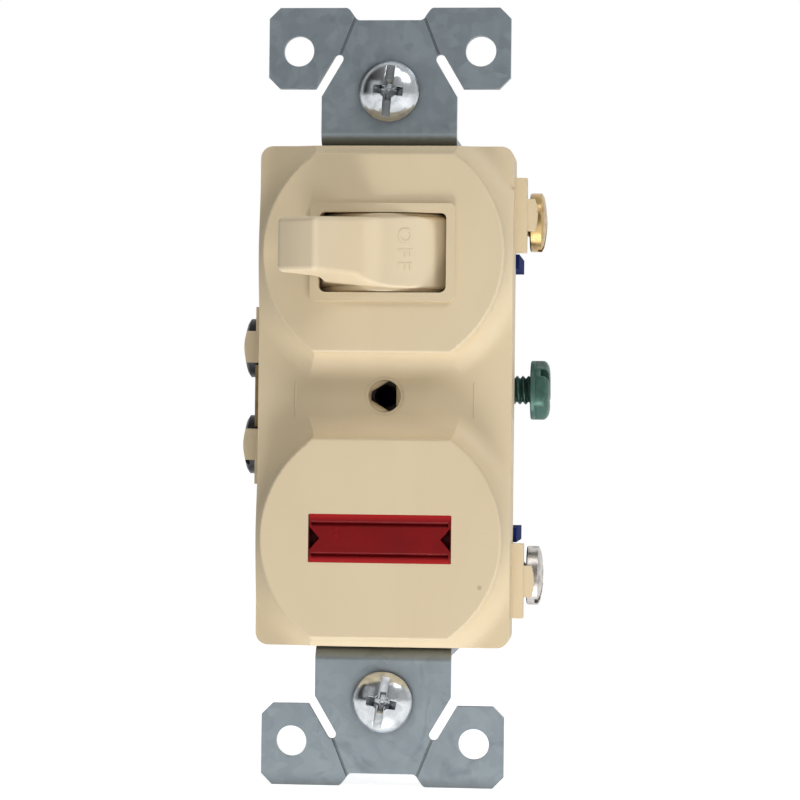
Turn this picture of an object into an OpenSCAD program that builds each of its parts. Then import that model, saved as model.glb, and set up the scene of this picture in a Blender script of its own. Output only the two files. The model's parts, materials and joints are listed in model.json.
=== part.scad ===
// Toggle wall switch with a pilot light, on a metal mounting strap. Millimetres.
// Every piece is drawn lying down: x to the right, y up the wall and z out into the room,
// with z = 0 on the wall. stand() turns it upright, so that the room side faces -Y.

/* [Cover] */
// Width of the ivory cover
cover_width = 34.6; // [34:0.1:42]
// Length of the ivory cover
cover_length = 68; // [67:0.5:84]
// Corner radius of the cover's outline
cover_corner = 1.7; // [0.8:0.1:2.2]
// Height of the cover's shoulder above the wall
shoulder_height = 3.2; // [2.8:0.1:3.8]
// Depth of the cover's skirt behind the wall plane
skirt_depth = 4; // [3.8:0.1:4.2]
// Wall thickness of the raised faces
face_wall = 1.6; // [1.4:0.1:1.8]

/* [Faces] */
// Diameter of each round face
face_diameter = 32.8; // [32:0.1:33.4]
// Distance between the two flats of a face
face_flats = 27; // [26:0.1:27.6]
// Margin between a face's outer flat and the end of the cover
face_margin = 1.25; // [0.8:0.05:1.6]
// Height of the faces above the wall
face_height = 8; // [7.8:0.1:9]
// Radius of the hollow fillet at the foot of a face
foot_fillet = 3.6; // [2:0.1:4]
// Radius along the edge of a face
face_edge = 0.4; // [0.2:0.05:0.8]
// Diameter of the wall-plate screw hole between the faces
plate_hole = 4.4; // [4:0.1:4.8]

/* [Side ledges] */
// Reach of the left-hand ledges beyond the cover's side
left_ledge_reach = 1; // [0.6:0.1:1.4]
// Reach of the right-hand ledges beyond the cover's side
right_ledge_reach = 1.6; // [1:0.1:1.7]
// Reach of the left-hand wire fingers beyond the cover's side
left_finger_reach = 2.7; // [2:0.1:3]
// Reach of the right-hand wire fingers beyond the cover's side
right_finger_reach = 3; // [2:0.1:3.2]
// Width of each wire finger
finger_width = 4.3; // [3:0.1:4.6]
// Thickness of the ledges and fingers
ledge_thick = 2.6; // [2:0.1:3]
// Length of each right-hand ledge
right_ledge = 10.2; // [8.5:0.1:11]
// Distance of the left-hand ledges' outer ends above and below the middle
left_ledge_end = 12.2; // [10:0.1:13]

/* [Toggle] */
// Depth of the toggle's pivot behind the wall plane
pivot_depth = 3; // [2.8:0.1:3.2]
// Tilt of the lever to either side of upright, in degrees
toggle_tilt = 22.5; // [21:0.5:23]
// Radius of the drum that closes the opening
drum_radius = 12.4; // [12.2:0.1:12.6]
// Width of the drum, across the lever
drum_width = 9.8; // [8.6:0.1:12]
// Distance from the pivot to the lever's tip
lever_length = 26.5; // [23:0.5:28]
// Thickness of the lever at its tip
tip_thick = 6; // [5:0.1:6.2]
// Thickness of the lever where it meets the drum
root_thick = 6.4; // [6:0.1:6.6]
// Width of the lever at its tip
tip_width = 7.3; // [6:0.1:8]
// Radius of the trunnions
trunnion_radius = 2; // [1.6:0.1:2.4]
// Length of each trunnion
trunnion_length = 1.6; // [1.2:0.1:1.8]
// Distance from the pivot to the end of the tail
tail_length = 15; // [14.6:0.1:15.4]
// Height of the raised frame round the opening
frame_height = 0.55; // [0.3:0.05:0.8]
// Width of the raised frame's border
frame_border = 1.2; // [1:0.1:2]

/* [Pilot light] */
// Length of the lens
lens_length = 19.1; // [16:0.1:22.9]
// Width of the lens
lens_width = 6.25; // [5:0.05:7.5]
// Wall thickness of the lens
lens_wall = 1.1; // [0.8:0.1:1.3]
// Width of the flange behind the window
lens_flange = 1.2; // [0.8:0.1:1.6]
// Diameter of the lamp bulb
bulb_diameter = 5.5; // [4:0.1:5.6]
// Length of the lamp bulb
bulb_length = 13; // [11:0.5:13.5]

/* [Rear body] */
// Depth of the rear body's back behind the wall plane
body_depth = 26; // [25:0.5:30]
// How far the cover overhangs each side of the rear body
body_overhang = 2.7; // [2.5:0.1:2.9]
// Wall thickness of the rear body
body_wall = 2; // [1.8:0.1:2.2]
// Reach of the guard ribs out of the right side
rib_reach = 3.2; // [1.5:0.1:3.4]

/* [Strap] */
// Thickness of the strap
strap_thick = 1.2; // [1:0.05:1.5]
// Width of the strap's neck and back
strap_width = 18.6; // [16:0.1:19]
// Reach of the ears beyond the end of the cover
ear_reach = 19.2; // [18.4:0.1:21]
// Width across the ears
ear_width = 33.2; // [32:0.1:36]
// Depth of the ears along the strap
ear_depth = 11.1; // [10.4:0.1:11.8]
// Cut across each ear's outer corner
ear_chamfer = 1.5; // [0.5:0.1:2.5]
// Diameter of the ear holes
ear_hole = 4.2; // [3.6:0.1:4.6]
// Distance between the ear holes, across
ear_hole_across = 25; // [24:0.1:27]
// Distance from the ear holes to the end of the strap
ear_hole_inset = 5.95; // [5:0.05:6.5]
// Depth of the dip in the middle of each end
dip_depth = 1.7; // [0.5:0.1:2.4]
// Width of the break-off slots
break_slot = 1.3; // [0.9:0.1:1.5]
// Inside radius of the bend behind the neck
bend_radius = 0.8; // [0.5:0.1:1.2]

/* [Mounting screws] */
// Distance from the mounting screws to the end of the cover
mount_setback = 7.67; // [7.4:0.01:8]
// Radius of the mounting screws
mount_radius = 1.75; // [1.5:0.05:1.9]
// Diameter of the mounting screws' heads
mount_head = 8.3; // [7.6:0.1:8.8]
// Height of the mounting screws' heads
mount_head_height = 2.4; // [1.8:0.1:3]
// Length of the mounting screws under the head
mount_length = 19; // [14:0.5:26]
// Length of the mounting slots in the strap
mount_slot = 6.6; // [5:0.1:7]

/* [Wiring screws] */
// Distance of the left-hand screws above and below the middle
left_screw_y = 6.75; // [6:0.05:7]
// Offset of the right-hand screws beyond the face's middle
right_screw_offset = 5.3; // [4.4:0.05:5.4]
// Height of the ground screw above the middle
ground_screw_y = 1.2; // [0:0.1:2]
// Depth of the screws' axes behind the wall plane
screw_depth = 8.5; // [8.4:0.1:8.8]
// Radius of the wiring screws
wire_screw_radius = 2; // [1.7:0.05:2.4]
// Diameter of the wiring screws' heads
wire_head = 8.2; // [7.4:0.1:8.4]
// Height of the wiring screws' heads
wire_head_height = 2.6; // [2:0.1:3]
// Length of the wiring screws under the head
wire_screw_length = 5.6; // [5:0.1:6]
// Gap under the left-hand heads for the wire
left_wire_gap = 2.6; // [1.8:0.1:3]
// Gap under the right-hand heads for the wire
right_wire_gap = 3.5; // [1.8:0.1:3.8]

/* [Terminals and contacts] */
// Thickness of the terminal plates
plate_thick = 1; // [0.8:0.05:1.1]
// Width and height of the terminal plates
plate_size = 8; // [7:0.1:8]
// Reach of the break-off fin out of the line terminal
fin_reach = 3.2; // [2:0.1:3.6]
// Length of the break-off fin
fin_length = 8.6; // [6:0.1:9]
// Angle of the open contact arm, in degrees
arm_open = 9; // [8:0.5:10]
// Thickness of the contact arm
arm_thick = 0.7; // [0.5:0.05:0.8]
// Height of the contact arm
arm_height = 4.4; // [3.6:0.1:4.6]
// Radius of the contacts
contact_radius = 1.6; // [1.2:0.1:1.8]
// Radius of the contact arm's pin
pin_radius = 0.7; // [0.5:0.05:0.8]

/* [Bush and housing screws] */
// Diameter of the tapped bush behind the plate-screw hole
bush_diameter = 6; // [5:0.1:7]
// Length of the tapped bush
bush_length = 8; // [6:0.5:10]
// Radius of the bush's tapped hole
bush_tap = 1.35; // [1.2:0.05:1.5]
// Radius of the housing screws
housing_radius = 1.2; // [1:0.05:1.3]
// Diameter of the housing screws' heads
housing_head = 4.4; // [4:0.1:4.6]

/* [Clearances] */
// Radial clearance of pins and screws that turn or slide
running_gap = 0.05; // [0.03:0.01:0.1]
// Gap between pieces that pass each other
moving_gap = 0.3; // [0.2:0.05:0.4]
// Gap between pieces that are laid into a slot or seat
seat_gap = 0.1; // [0.05:0.05:0.2]

/* [Hidden] */
$fn = 64;
cut = 1;

// Main outline
half_width = cover_width / 2;
half_length = cover_length / 2;
face_y = half_length - face_margin - face_flats / 2;
face_radius = face_diameter / 2;
foot_radius = min(foot_fillet, face_height - shoulder_height - face_edge);
ceiling = face_height - face_wall;
body_half = half_width - body_overhang;
body_inside = body_half - body_wall;
floor_z = -body_depth + body_wall;
deck_z = -skirt_depth;
ledge_z = -skirt_depth + 0.4;
finger_inset = 0.6;

// Toggle and its opening
pivot_z = -pivot_depth;
drum_gap = 0.45;
opening_half = sqrt(pow(drum_radius, 2) - pow(ceiling - drum_gap - pivot_z, 2));
opening_gap = 0.5;
opening_width = drum_width + 2 * opening_gap;
opening_corner = 0.9;
frame_corner = 0.8;
drum_edge = 0.4;
drum_sweep = asin(opening_half / drum_radius) + toggle_tilt + 2;
hub_radius = trunnion_radius + 2;
cheek_in = drum_width / 2 + moving_gap;
cheek_out = cheek_in + trunnion_length;
cheek_half = trunnion_radius + 1.2;
tail_half = 1.5;
tail_width = 5;
boss_radius = 1.2;
boss_height = 1.2;

// Switch and lamp chambers
bus_room = 2.75;
chamber_near = face_y - cheek_out - bus_room;
chamber_far = half_length - body_wall;

// Terminals
plate_in = body_half;
plate_out = body_half + plate_thick;
right_screw_y = face_y + right_screw_offset;
screw_z = -screw_depth;
plate_top = screw_z + plate_size / 2;
plate_bottom = screw_z - plate_size / 2;
bus_near = chamber_near + 0.6;
bus_far = bus_near + plate_thick;
tab_far = face_y + 4.55 + plate_size / 2;
tab_near = tab_far - plate_thick;
well_radius = wire_screw_radius + moving_gap;
well_wall = 0.4;
well_outer = well_radius + well_wall;
well_end = plate_out - wire_screw_length - moving_gap;

// Contact arm, closed along x = arm_x, with its pin's head just behind the screw well
lug_thick = 0.8;
pin_head = 0.35;
pin_clear = 0.15;
lug_top = screw_z - well_outer - pin_clear - pin_head;
arm_top = lug_top - lug_thick - moving_gap;
arm_z = arm_top - arm_height / 2;
arm_x = 8.6;
eye_radius = pin_radius + running_gap + 0.65;
arm_y = tab_near - moving_gap - eye_radius;
contact_y = bus_far + contact_radius + 0.2;
contact_arm_length = arm_y - contact_y;
contact_head = 0.8;
contact_shank = contact_radius / 2;
contact_tail = 0.4;
fixed_face = arm_x - arm_thick / 2 - contact_head - running_gap;
contact_plate_out = fixed_face - contact_head;
contact_plate_in = contact_plate_out - plate_thick;
arm_bottom = arm_z - arm_height / 2;
lug_bottom = arm_bottom - moving_gap - lug_thick;
bus_half = 2;
bus_top = arm_z + bus_half;
bus_bottom = arm_z - bus_half;

// Nose of the toggle's tail, which holds the arm open
nose_radius = 0.9;
nose_half = 1.2;
nose_w = tail_length - 1;
nose_reach = arm_y - face_y - nose_half;
nose_face = arm_x + nose_reach * sin(arm_open) - arm_thick / 2 - moving_gap;
nose_u = (nose_face - nose_radius - nose_w * sin(toggle_tilt)) / cos(toggle_tilt);

// Screws
mount_y = half_length + mount_setback;
mount_hole = 2 * mount_radius + 0.7;
strap_half = half_length + ear_reach;
housing_x = body_half - 2.6;
housing_y = half_length - 3.4;
housing_post = housing_radius + 1.1;
housing_reach = 4;
housing_head_height = 1.4;
leg_in = half_length + 0.15;
leg_out = leg_in + strap_thick;
back_out = -body_depth - strap_thick;
tab_in = body_half + seat_gap;
ground_out = tab_in + strap_thick;
retainer_thick = 0.8;

// Lamp
lamp_y = -face_y;
bulb_radius = bulb_diameter / 2;
bulb_wall = 0.5;
lens_back = 4.9;
lamp_z = lens_back - moving_gap - 0.4 - bulb_radius;
lamp_left = -bulb_length / 2 + bulb_radius;
lamp_right = bulb_length / 2;
electrode_gap = 0.9;
lead_radius = 0.35;
lead_drop_x = lamp_right + 2.5;
line_lead_y = -(chamber_near + 3.3);
line_lead_z = screw_z - 2;
neutral_lead_z = arm_z + 0.5;
resistor_radius = 1.15;
resistor_half = 3.2;

// Helpers

// Turns a piece drawn lying down upright against the wall.
module stand() {
    rotate([90, 0, 0])
        children();
}

// A block between two corners.
module block(low, high) {
    translate(low)
        cube(high - low);
}

// A cylinder along x from x0 to x1.
module rod_x(x0, x1, radius) {
    translate([x0, 0, 0])
        rotate([0, 90, 0])
            cylinder(h = x1 - x0, r = radius);
}

// A cylinder along y from y0 to y1.
module rod_y(y0, y1, radius) {
    translate([0, y0, 0])
        rotate([-90, 0, 0])
            cylinder(h = y1 - y0, r = radius);
}

// A rectangle with round corners, centred on the origin.
module round_rectangle(width, length, radius) {
    square([width - 2 * radius, length], center = true);
    square([width, length - 2 * radius], center = true);
    for (x = [-1, 1], y = [-1, 1])
        translate([x * (width / 2 - radius), y * (length / 2 - radius)])
            circle(r = radius);
}

// Copies its children to both signs of x and y.
module four_ways() {
    for (x = [0, 1], y = [0, 1])
        mirror([x, 0, 0])
            mirror([0, y, 0])
                children();
}

// Strap

// End edge of the strap: a dip in the middle that rises to the ears in a smooth curve.
dip_half = 4.2;
dip_run = 1.8;
dip_steps = 8;
function dip_edge(end) = [
    for (i = [0:dip_steps])
        [dip_half + dip_run * i / dip_steps, end - dip_depth * (1 + cos(180 * i / dip_steps)) / 2]
];

// Outline of one ear and half the neck, on the right.
module ear_outline() {
    outer = ear_width / 2;
    polygon(concat(
        [[0, half_length], [0, strap_half - dip_depth]],
        dip_edge(strap_half),
        [
            [outer - ear_chamfer, strap_half],
            [outer, strap_half - ear_chamfer],
            [outer, strap_half - ear_depth + ear_chamfer],
            [outer - ear_chamfer, strap_half - ear_depth],
            [strap_width / 2, strap_half - ear_depth],
            [strap_width / 2, half_length]
        ]
    ));
}

// Slanted slot that lets an ear be broken off: round inside, open at the neck.
slot_start = [7, -7];
slot_slant = 30.5;
module break_off_slot() {
    translate(strap_half * [0, 1] + slot_start)
        rotate(slot_slant) {
            circle(d = break_slot);
            translate([-break_slot / 2, -ear_depth])
                square([break_slot, ear_depth]);
        }
}

// Shallow score from the slot's round end to the dip, where the ear snaps off.
score_width = 0.35;
score_depth = 0.25;
module score_line() {
    from = strap_half * [0, 1] + slot_start;
    step = [dip_half, strap_half] - from;
    translate([from[0], from[1], strap_thick - score_depth])
        rotate(atan2(step[1], step[0]))
            translate([0, -score_width / 2, 0])
                cube([norm(step), score_width, score_depth + cut]);
}

// Side view of the strap behind one neck: bend, leg and back, drawn as y and z.
module strap_side() {
    bend_y = leg_out + bend_radius;
    difference() {
        translate([leg_in, -bend_radius])
            square([bend_radius + strap_thick, bend_radius + strap_thick]);
        translate([bend_y, -bend_radius])
            circle(r = bend_radius);
        difference() {
            translate([leg_in - cut, -bend_radius])
                square([bend_radius + strap_thick + cut, bend_radius + strap_thick + cut]);
            translate([bend_y, -bend_radius])
                circle(r = bend_radius + strap_thick);
        }
    }
    translate([leg_in, -body_depth])
        square([strap_thick, body_depth - bend_radius]);
    translate([0, back_out])
        square([leg_in, strap_thick]);
    intersection() {
        translate([leg_in, back_out])
            square(strap_thick);
        translate([leg_in, -body_depth])
            circle(r = strap_thick);
    }
}

// Ears, neck and holes of one end, flat against the wall.
module strap_end() {
    linear_extrude(strap_thick)
        difference() {
            for (x = [0, 1])
                mirror([x, 0])
                    difference() {
                        ear_outline();
                        break_off_slot();
                    }
            square([ear_width, 2 * (leg_out + bend_radius)], center = true);
            for (x = [-1, 1])
                translate([x * ear_hole_across / 2, strap_half - ear_hole_inset])
                    circle(d = ear_hole);
            for (x = [-1, 1])
                translate([x * (mount_slot - mount_hole) / 2, mount_y])
                    circle(d = mount_hole);
            translate([0, mount_y])
                square([mount_slot - mount_hole, mount_hole], center = true);
        }
}

// Tab from the strap's back, bent forward along the right side for the ground screw.
ground_tab = 8;
module ground_arm() {
    low = ground_screw_y - ground_tab / 2;
    high = ground_screw_y + ground_tab / 2;
    difference() {
        union() {
            block([0, low, back_out], [ground_out, high, -body_depth]);
            block([tab_in, low, back_out], [ground_out, high, plate_top]);
        }
        translate([0, ground_screw_y, screw_z])
            rod_x(tab_in - cut, ground_out + cut, wire_screw_radius + running_gap);
    }
}

module strap() {
    color([0.53, 0.57, 0.60])
        stand() {
            for (y = [0, 1])
                mirror([0, y, 0]) {
                    difference() {
                        strap_end();
                        for (x = [0, 1])
                            mirror([x, 0, 0])
                                score_line();
                    }
                    rotate([90, 0, 90])
                        linear_extrude(strap_width, center = true)
                            strap_side();
                }
            ground_arm();
        }
}

// Front cover

module cover_outline() {
    round_rectangle(cover_width, cover_length, cover_corner);
}

// Half of a raised face seen from the side: straight wall, hollow foot, rounded edge.
module face_profile(half) {
    difference() {
        translate([0, deck_z])
            square([half, face_height - deck_z]);
        translate([half - face_edge, face_height - face_edge])
            difference() {
                square(face_edge + cut);
                circle(r = face_edge);
            }
    }
    difference() {
        translate([half - cut, deck_z])
            square([foot_radius + cut, shoulder_height + foot_radius - deck_z]);
        translate([half + foot_radius, shoulder_height + foot_radius])
            circle(r = foot_radius);
        translate([half - 2 * cut, shoulder_height + foot_radius])
            square([2 * cut, cut]);
    }
}

// A round face with two flats, on its spreading foot.
module raised_face() {
    intersection() {
        rotate_extrude()
            face_profile(face_radius);
        rotate([90, 0, 90])
            linear_extrude(2 * (face_radius + foot_radius + cut), center = true)
                for (side = [0, 1])
                    mirror([side, 0])
                        face_profile(face_flats / 2);
    }
}

// Hollow behind a face.
module face_hollow() {
    inner_flat = face_flats / 2 - face_wall;
    intersection() {
        translate([0, 0, deck_z - cut])
            cylinder(h = ceiling - deck_z + cut, r = face_radius - face_wall);
        block([-face_radius, -inner_flat, deck_z - cut], [face_radius, inner_flat, ceiling]);
    }
}

// Ledge along the right side, from one height up the wall to another.
module side_ledge(low, high, reach) {
    block(
        [half_width - cut, low, ledge_z],
        [half_width + reach, high, ledge_z + ledge_thick]
    );
}

// Finger that covers a wiring screw on the right side, with a slightly bowed end.
finger_bow = 7;
module wire_finger(y, reach) {
    tip = half_width + reach;
    intersection() {
        block(
            [half_width - cut, y - finger_width / 2, ledge_z],
            [tip, y + finger_width / 2, ledge_z + ledge_thick - finger_inset]
        );
        translate([tip - finger_bow, y, ledge_z])
            cylinder(h = ledge_thick, r = finger_bow);
    }
}

// Upper halves of the toggle's bearings, hanging from the cover's ceiling.
module cover_cheeks() {
    for (side = [-1, 1]) {
        middle = face_y + side * (cheek_in + cheek_out) / 2;
        block(
            [-cheek_half, middle - trunnion_length / 2, pivot_z],
            [cheek_half, middle + trunnion_length / 2, ceiling + face_wall / 2]
        );
    }
}

ledge_shift = 0.5;
finger_shift = 0.6;
ring_depth = 0.15;
ring_border = 0.5;
module front_cover() {
    color([0.85, 0.78, 0.64])
        stand()
            difference() {
                union() {
                    difference() {
                        intersection() {
                            union() {
                                translate([0, 0, deck_z])
                                    linear_extrude(shoulder_height - deck_z)
                                        cover_outline();
                                for (side = [-1, 1])
                                    translate([0, side * face_y, 0])
                                        raised_face();
                            }
                            translate([0, 0, deck_z])
                                linear_extrude(face_height - deck_z + cut)
                                    cover_outline();
                        }
                        for (side = [-1, 1])
                            translate([0, side * face_y, 0])
                                face_hollow();
                    }
                    for (side = [-1, 1]) {
                        middle = side * (right_screw_y + ledge_shift);
                        side_ledge(middle - right_ledge / 2, middle + right_ledge / 2, right_ledge_reach);
                        wire_finger(side * (right_screw_y + finger_shift), right_finger_reach);
                    }
                    mirror([1, 0, 0]) {
                        side_ledge(left_screw_y - finger_width / 2, left_ledge_end, left_ledge_reach);
                        side_ledge(-left_ledge_end, finger_width / 2 - left_screw_y, left_ledge_reach);
                        wire_finger(left_screw_y, left_finger_reach);
                        wire_finger(-left_screw_y, left_finger_reach);
                    }
                    translate([0, face_y, face_height - face_wall / 2])
                        linear_extrude(frame_height + face_wall / 2)
                            round_rectangle(
                                2 * (opening_half + frame_border),
                                opening_width + 2 * frame_border,
                                frame_corner
                            );
                    cover_cheeks();
                }
                translate([0, face_y, ceiling - cut])
                    linear_extrude(face_wall + frame_height + 2 * cut)
                        round_rectangle(2 * opening_half, opening_width, opening_corner);
                translate([0, face_y, pivot_z])
                    rod_y(-cheek_out - cut, cheek_out + cut, trunnion_radius + running_gap);
                translate([0, lamp_y, ceiling - cut])
                    linear_extrude(face_wall + 2 * cut)
                        square([lens_length + 2 * seat_gap, lens_width + 2 * seat_gap], center = true);
                translate([0, 0, -cut])
                    cylinder(h = shoulder_height + 2 * cut, d = plate_hole);
                translate([0, 0, shoulder_height - ring_depth])
                    cylinder(h = cut, d = plate_hole + 2 * ring_border);
                translate([0, 0, deck_z - cut])
                    cylinder(h = cut - deck_z, d = bush_diameter);
                four_ways()
                    translate([housing_x, housing_y, deck_z - cut])
                        cylinder(h = housing_reach + cut, r = housing_radius);
            }
}

// Rear body

// Slot through the right wall, or the left one when mirrored, open towards the cover.
module wall_slot(y0, y1, bottom) {
    block(
        [body_inside - cut, y0 - seat_gap, bottom - seat_gap],
        [body_half + cut, y1 + seat_gap, deck_z + cut]
    );
}

// Saddle posts: lower halves of the toggle's bearings.
module toggle_saddles() {
    for (side = [-1, 1]) {
        middle = face_y + side * (cheek_in + cheek_out) / 2;
        block(
            [-cheek_half, middle - trunnion_length / 2, floor_z - cut],
            [cheek_half, middle + trunnion_length / 2, pivot_z]
        );
    }
}

// Cradles under the lamp.
cradle_at = 3.4;
cradle_half = 0.6;
module lamp_cradles() {
    for (x = [-cradle_at, cradle_at])
        difference() {
            block(
                [x - cradle_half, lamp_y - bulb_radius - cradle_half, floor_z - cut],
                [x + cradle_half, lamp_y + bulb_radius + cradle_half, lamp_z - cradle_half]
            );
            translate([0, lamp_y, lamp_z])
                rod_x(x - cut, x + cut, bulb_radius + seat_gap);
        }
}

rib_y = face_y - 0.4;
rib_half = 1;
rib_foot = 8;
module rear_body() {
    color([0.11, 0.17, 0.38])
        stand()
            difference() {
                union() {
                    difference() {
                        translate([0, 0, -body_depth])
                            linear_extrude(body_depth - skirt_depth)
                                round_rectangle(2 * body_half, cover_length, cover_corner);
                        for (side = [0, 1])
                            mirror([0, side, 0])
                                block(
                                    [-body_inside, chamber_near, floor_z],
                                    [body_inside, chamber_far, deck_z + cut]
                                );
                    }
                    four_ways()
                        translate([housing_x, housing_y, -body_depth])
                            cylinder(h = body_depth - skirt_depth, r = housing_post);
                    toggle_saddles();
                    lamp_cradles();
                    translate([0, face_y, floor_z - cut])
                        cylinder(h = boss_height + cut, r = boss_radius);
                    for (side = [-1, 1]) {
                        translate([0, side * right_screw_y, screw_z])
                            block(
                                [well_end - well_wall, -well_outer, -well_outer],
                                [body_half - well_wall, well_outer, well_outer]
                            );
                        translate([0, side * rib_y, 0])
                            block(
                                [body_inside + well_wall, -rib_half, rib_foot - body_depth],
                                [body_half + rib_reach, rib_half, deck_z]
                            );
                    }
                }
                for (side = [-1, 1])
                    translate([0, side * right_screw_y, screw_z])
                        rod_x(well_end, body_half + cut, well_radius);
                for (side = [-1, 1])
                    translate([0, side * left_screw_y, screw_z])
                        rod_x(-body_half - cut, -well_end, well_radius);
                translate([0, ground_screw_y, screw_z])
                    rod_x(well_end, body_half + cut, well_radius);
                for (side = [0, 1])
                    mirror([0, side, 0]) {
                        wall_slot(tab_near, tab_far, lug_bottom);
                        mirror([1, 0, 0])
                            wall_slot(bus_near, bus_far, bus_bottom);
                    }
                translate([0, face_y, pivot_z])
                    rod_y(-cheek_out - cut, cheek_out + cut, trunnion_radius + running_gap);
                translate([0, 0, -bush_length])
                    cylinder(h = bush_length, d = bush_diameter);
                four_ways()
                    translate([housing_x, housing_y, -body_depth - cut])
                        cylinder(h = body_depth + cut, r = housing_radius + seat_gap);
            }
}

// Toggle, drawn upright about its pivot and then tilted to the left

// Wedge that the drum fills, wide enough to close the opening at both ends of the throw.
module drum_wedge() {
    reach = 2 * drum_radius;
    x = reach * sin(drum_sweep);
    z = reach * cos(drum_sweep);
    polygon([[0, 0], [x, z], [x, reach], [-x, reach], [-x, z]]);
}

// Drum about the pivot, with both rims chamfered to pass the opening's round corners.
module drum() {
    half = drum_width / 2;
    rotate([-90, 0, 0])
        rotate_extrude()
            polygon([
                [0, -half], [drum_radius - drum_edge, -half], [drum_radius, drum_edge - half],
                [drum_radius, half - drum_edge], [drum_radius - drum_edge, half], [0, half]
            ]);
}

// Lever that tapers in thickness and in width.
module lever_blade() {
    intersection() {
        rotate([90, 0, 0])
            linear_extrude(2 * drum_width, center = true)
                polygon([
                    [-root_thick / 2, 0], [root_thick / 2, 0],
                    [root_thick / 2, drum_radius], [tip_thick / 2, lever_length],
                    [-tip_thick / 2, lever_length], [-root_thick / 2, drum_radius]
                ]);
        rotate([90, 0, 90])
            linear_extrude(2 * root_thick, center = true)
                polygon([
                    [-drum_width / 2, 0], [drum_width / 2, 0],
                    [drum_width / 2, drum_radius], [tip_width / 2, lever_length],
                    [-tip_width / 2, lever_length], [-drum_width / 2, drum_radius]
                ]);
    }
}

// Tail with the spring's boss and the nose that holds the contact arm open.
module toggle_tail() {
    block([-tail_half, -tail_width / 2, -tail_length], [tail_half, tail_width / 2, 0]);
    translate([0, 0, -tail_length - boss_height])
        cylinder(h = boss_height + cut, r = boss_radius);
    translate([nose_u, 0, -nose_w])
        rod_y(-nose_half, nose_half, nose_radius);
    block([0, -nose_half, -nose_w - nose_radius], [nose_u, nose_half, -nose_w + nose_radius]);
}

module toggle_lever() {
    color([0.87, 0.80, 0.67])
        stand()
            translate([0, face_y, pivot_z])
                rotate([0, -toggle_tilt, 0]) {
                    intersection() {
                        drum();
                        rotate([90, 0, 0])
                            linear_extrude(2 * drum_width, center = true)
                                drum_wedge();
                    }
                    rod_y(-drum_width / 2, drum_width / 2, hub_radius);
                    rod_y(-cheek_out, cheek_out, trunnion_radius);
                    lever_blade();
                    toggle_tail();
                }
}

// Springs: coils wound about a curve in the x-z plane, from its start p0 to its end p3

coil_sides = 6;
coil_rings = 8;
function curve(p, t) =
    pow(1 - t, 3) * p[0] + 3 * t * pow(1 - t, 2) * p[1] + 3 * t * t * (1 - t) * p[2] + pow(t, 3) * p[3];
function curve_way(p, t) =
    pow(1 - t, 2) * (p[1] - p[0]) + 2 * t * (1 - t) * (p[2] - p[1]) + t * t * (p[3] - p[2]);
function unit(v) = v / norm(v);
function side_way(p, t) = let (way = unit(curve_way(p, t))) [way[1], -way[0]];
function coil_out(p, t, turns) =
    let (side = side_way(p, t), angle = 360 * turns * t)
    [side[0] * cos(angle), sin(angle), side[1] * cos(angle)];
function coil_point(p, t, turns, radius) =
    let (middle = curve(p, t)) [middle[0], 0, middle[1]] + radius * coil_out(p, t, turns);
function coil_way(p, t, turns, radius) =
    unit(coil_point(p, t + 0.001, turns, radius) - coil_point(p, t - 0.001, turns, radius));
function coil_ring(p, t, turns, radius, wire) =
    let (out = coil_out(p, t, turns), up = unit(cross(coil_way(p, t, turns, radius), out)))
    [
        for (k = [0:coil_sides - 1])
            coil_point(p, t, turns, radius)
                + wire * (out * cos(360 * k / coil_sides) + up * sin(360 * k / coil_sides))
    ];

module coil(p, turns, radius, wire) {
    steps = round(turns * coil_rings);
    points = [for (i = [0:steps]) each coil_ring(p, i / steps, turns, radius, wire)];
    last = steps * coil_sides;
    sides = [
        for (i = [0:steps - 1], k = [0:coil_sides - 1])
            let (
                a = i * coil_sides + k,
                b = i * coil_sides + (k + 1) % coil_sides,
                c = b + coil_sides,
                d = a + coil_sides
            )
            each [[a, b, c], [a, c, d]]
    ];
    ends = [
        for (k = [1:coil_sides - 2])
            each [[0, k + 1, k], [last, last + k, last + k + 1]]
    ];
    polyhedron(points = points, faces = concat(sides, ends), convexity = 6);
}

toggle_coil = 1.75;
toggle_wire = 0.3;
toggle_turns = 5;
bow = 3;
module toggle_spring() {
    tail_end = [tail_length * sin(toggle_tilt), pivot_z - tail_length * cos(toggle_tilt)];
    tail_way = [-sin(toggle_tilt), cos(toggle_tilt)];
    lift = toggle_wire + seat_gap;
    start = [0, floor_z + lift];
    end = tail_end - lift * tail_way;
    color([0.65, 0.67, 0.70])
        stand()
            translate([0, face_y, 0])
                coil([start, start + [0, bow], end - bow * tail_way, end],
                    toggle_turns, toggle_coil, toggle_wire);
}

contact_coil = 1.2;
contact_wire = 0.2;
contact_turns = 2.5;
contact_spring_at = 5;
module contact_spring() {
    lift = contact_wire + seat_gap;
    slack = contact_coil * sin(arm_open);
    start_x = arm_x + contact_spring_at * sin(arm_open) + arm_thick / 2 + lift + slack;
    start = [start_x, arm_z];
    end = [body_inside - lift, arm_z];
    color([0.65, 0.67, 0.70])
        stand()
            translate([0, arm_y - contact_spring_at, 0])
                coil([start, (2 * start + end) / 3, (start + 2 * end) / 3, end],
                    contact_turns, contact_coil, contact_wire);
}

// Contact arm and contacts

// Places what is drawn about the arm's pin, with the arm closed along -y, at its open rest.
module arm_place() {
    stand()
        translate([arm_x, arm_y, 0])
            rotate([0, 0, arm_open])
                children();
}

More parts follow.
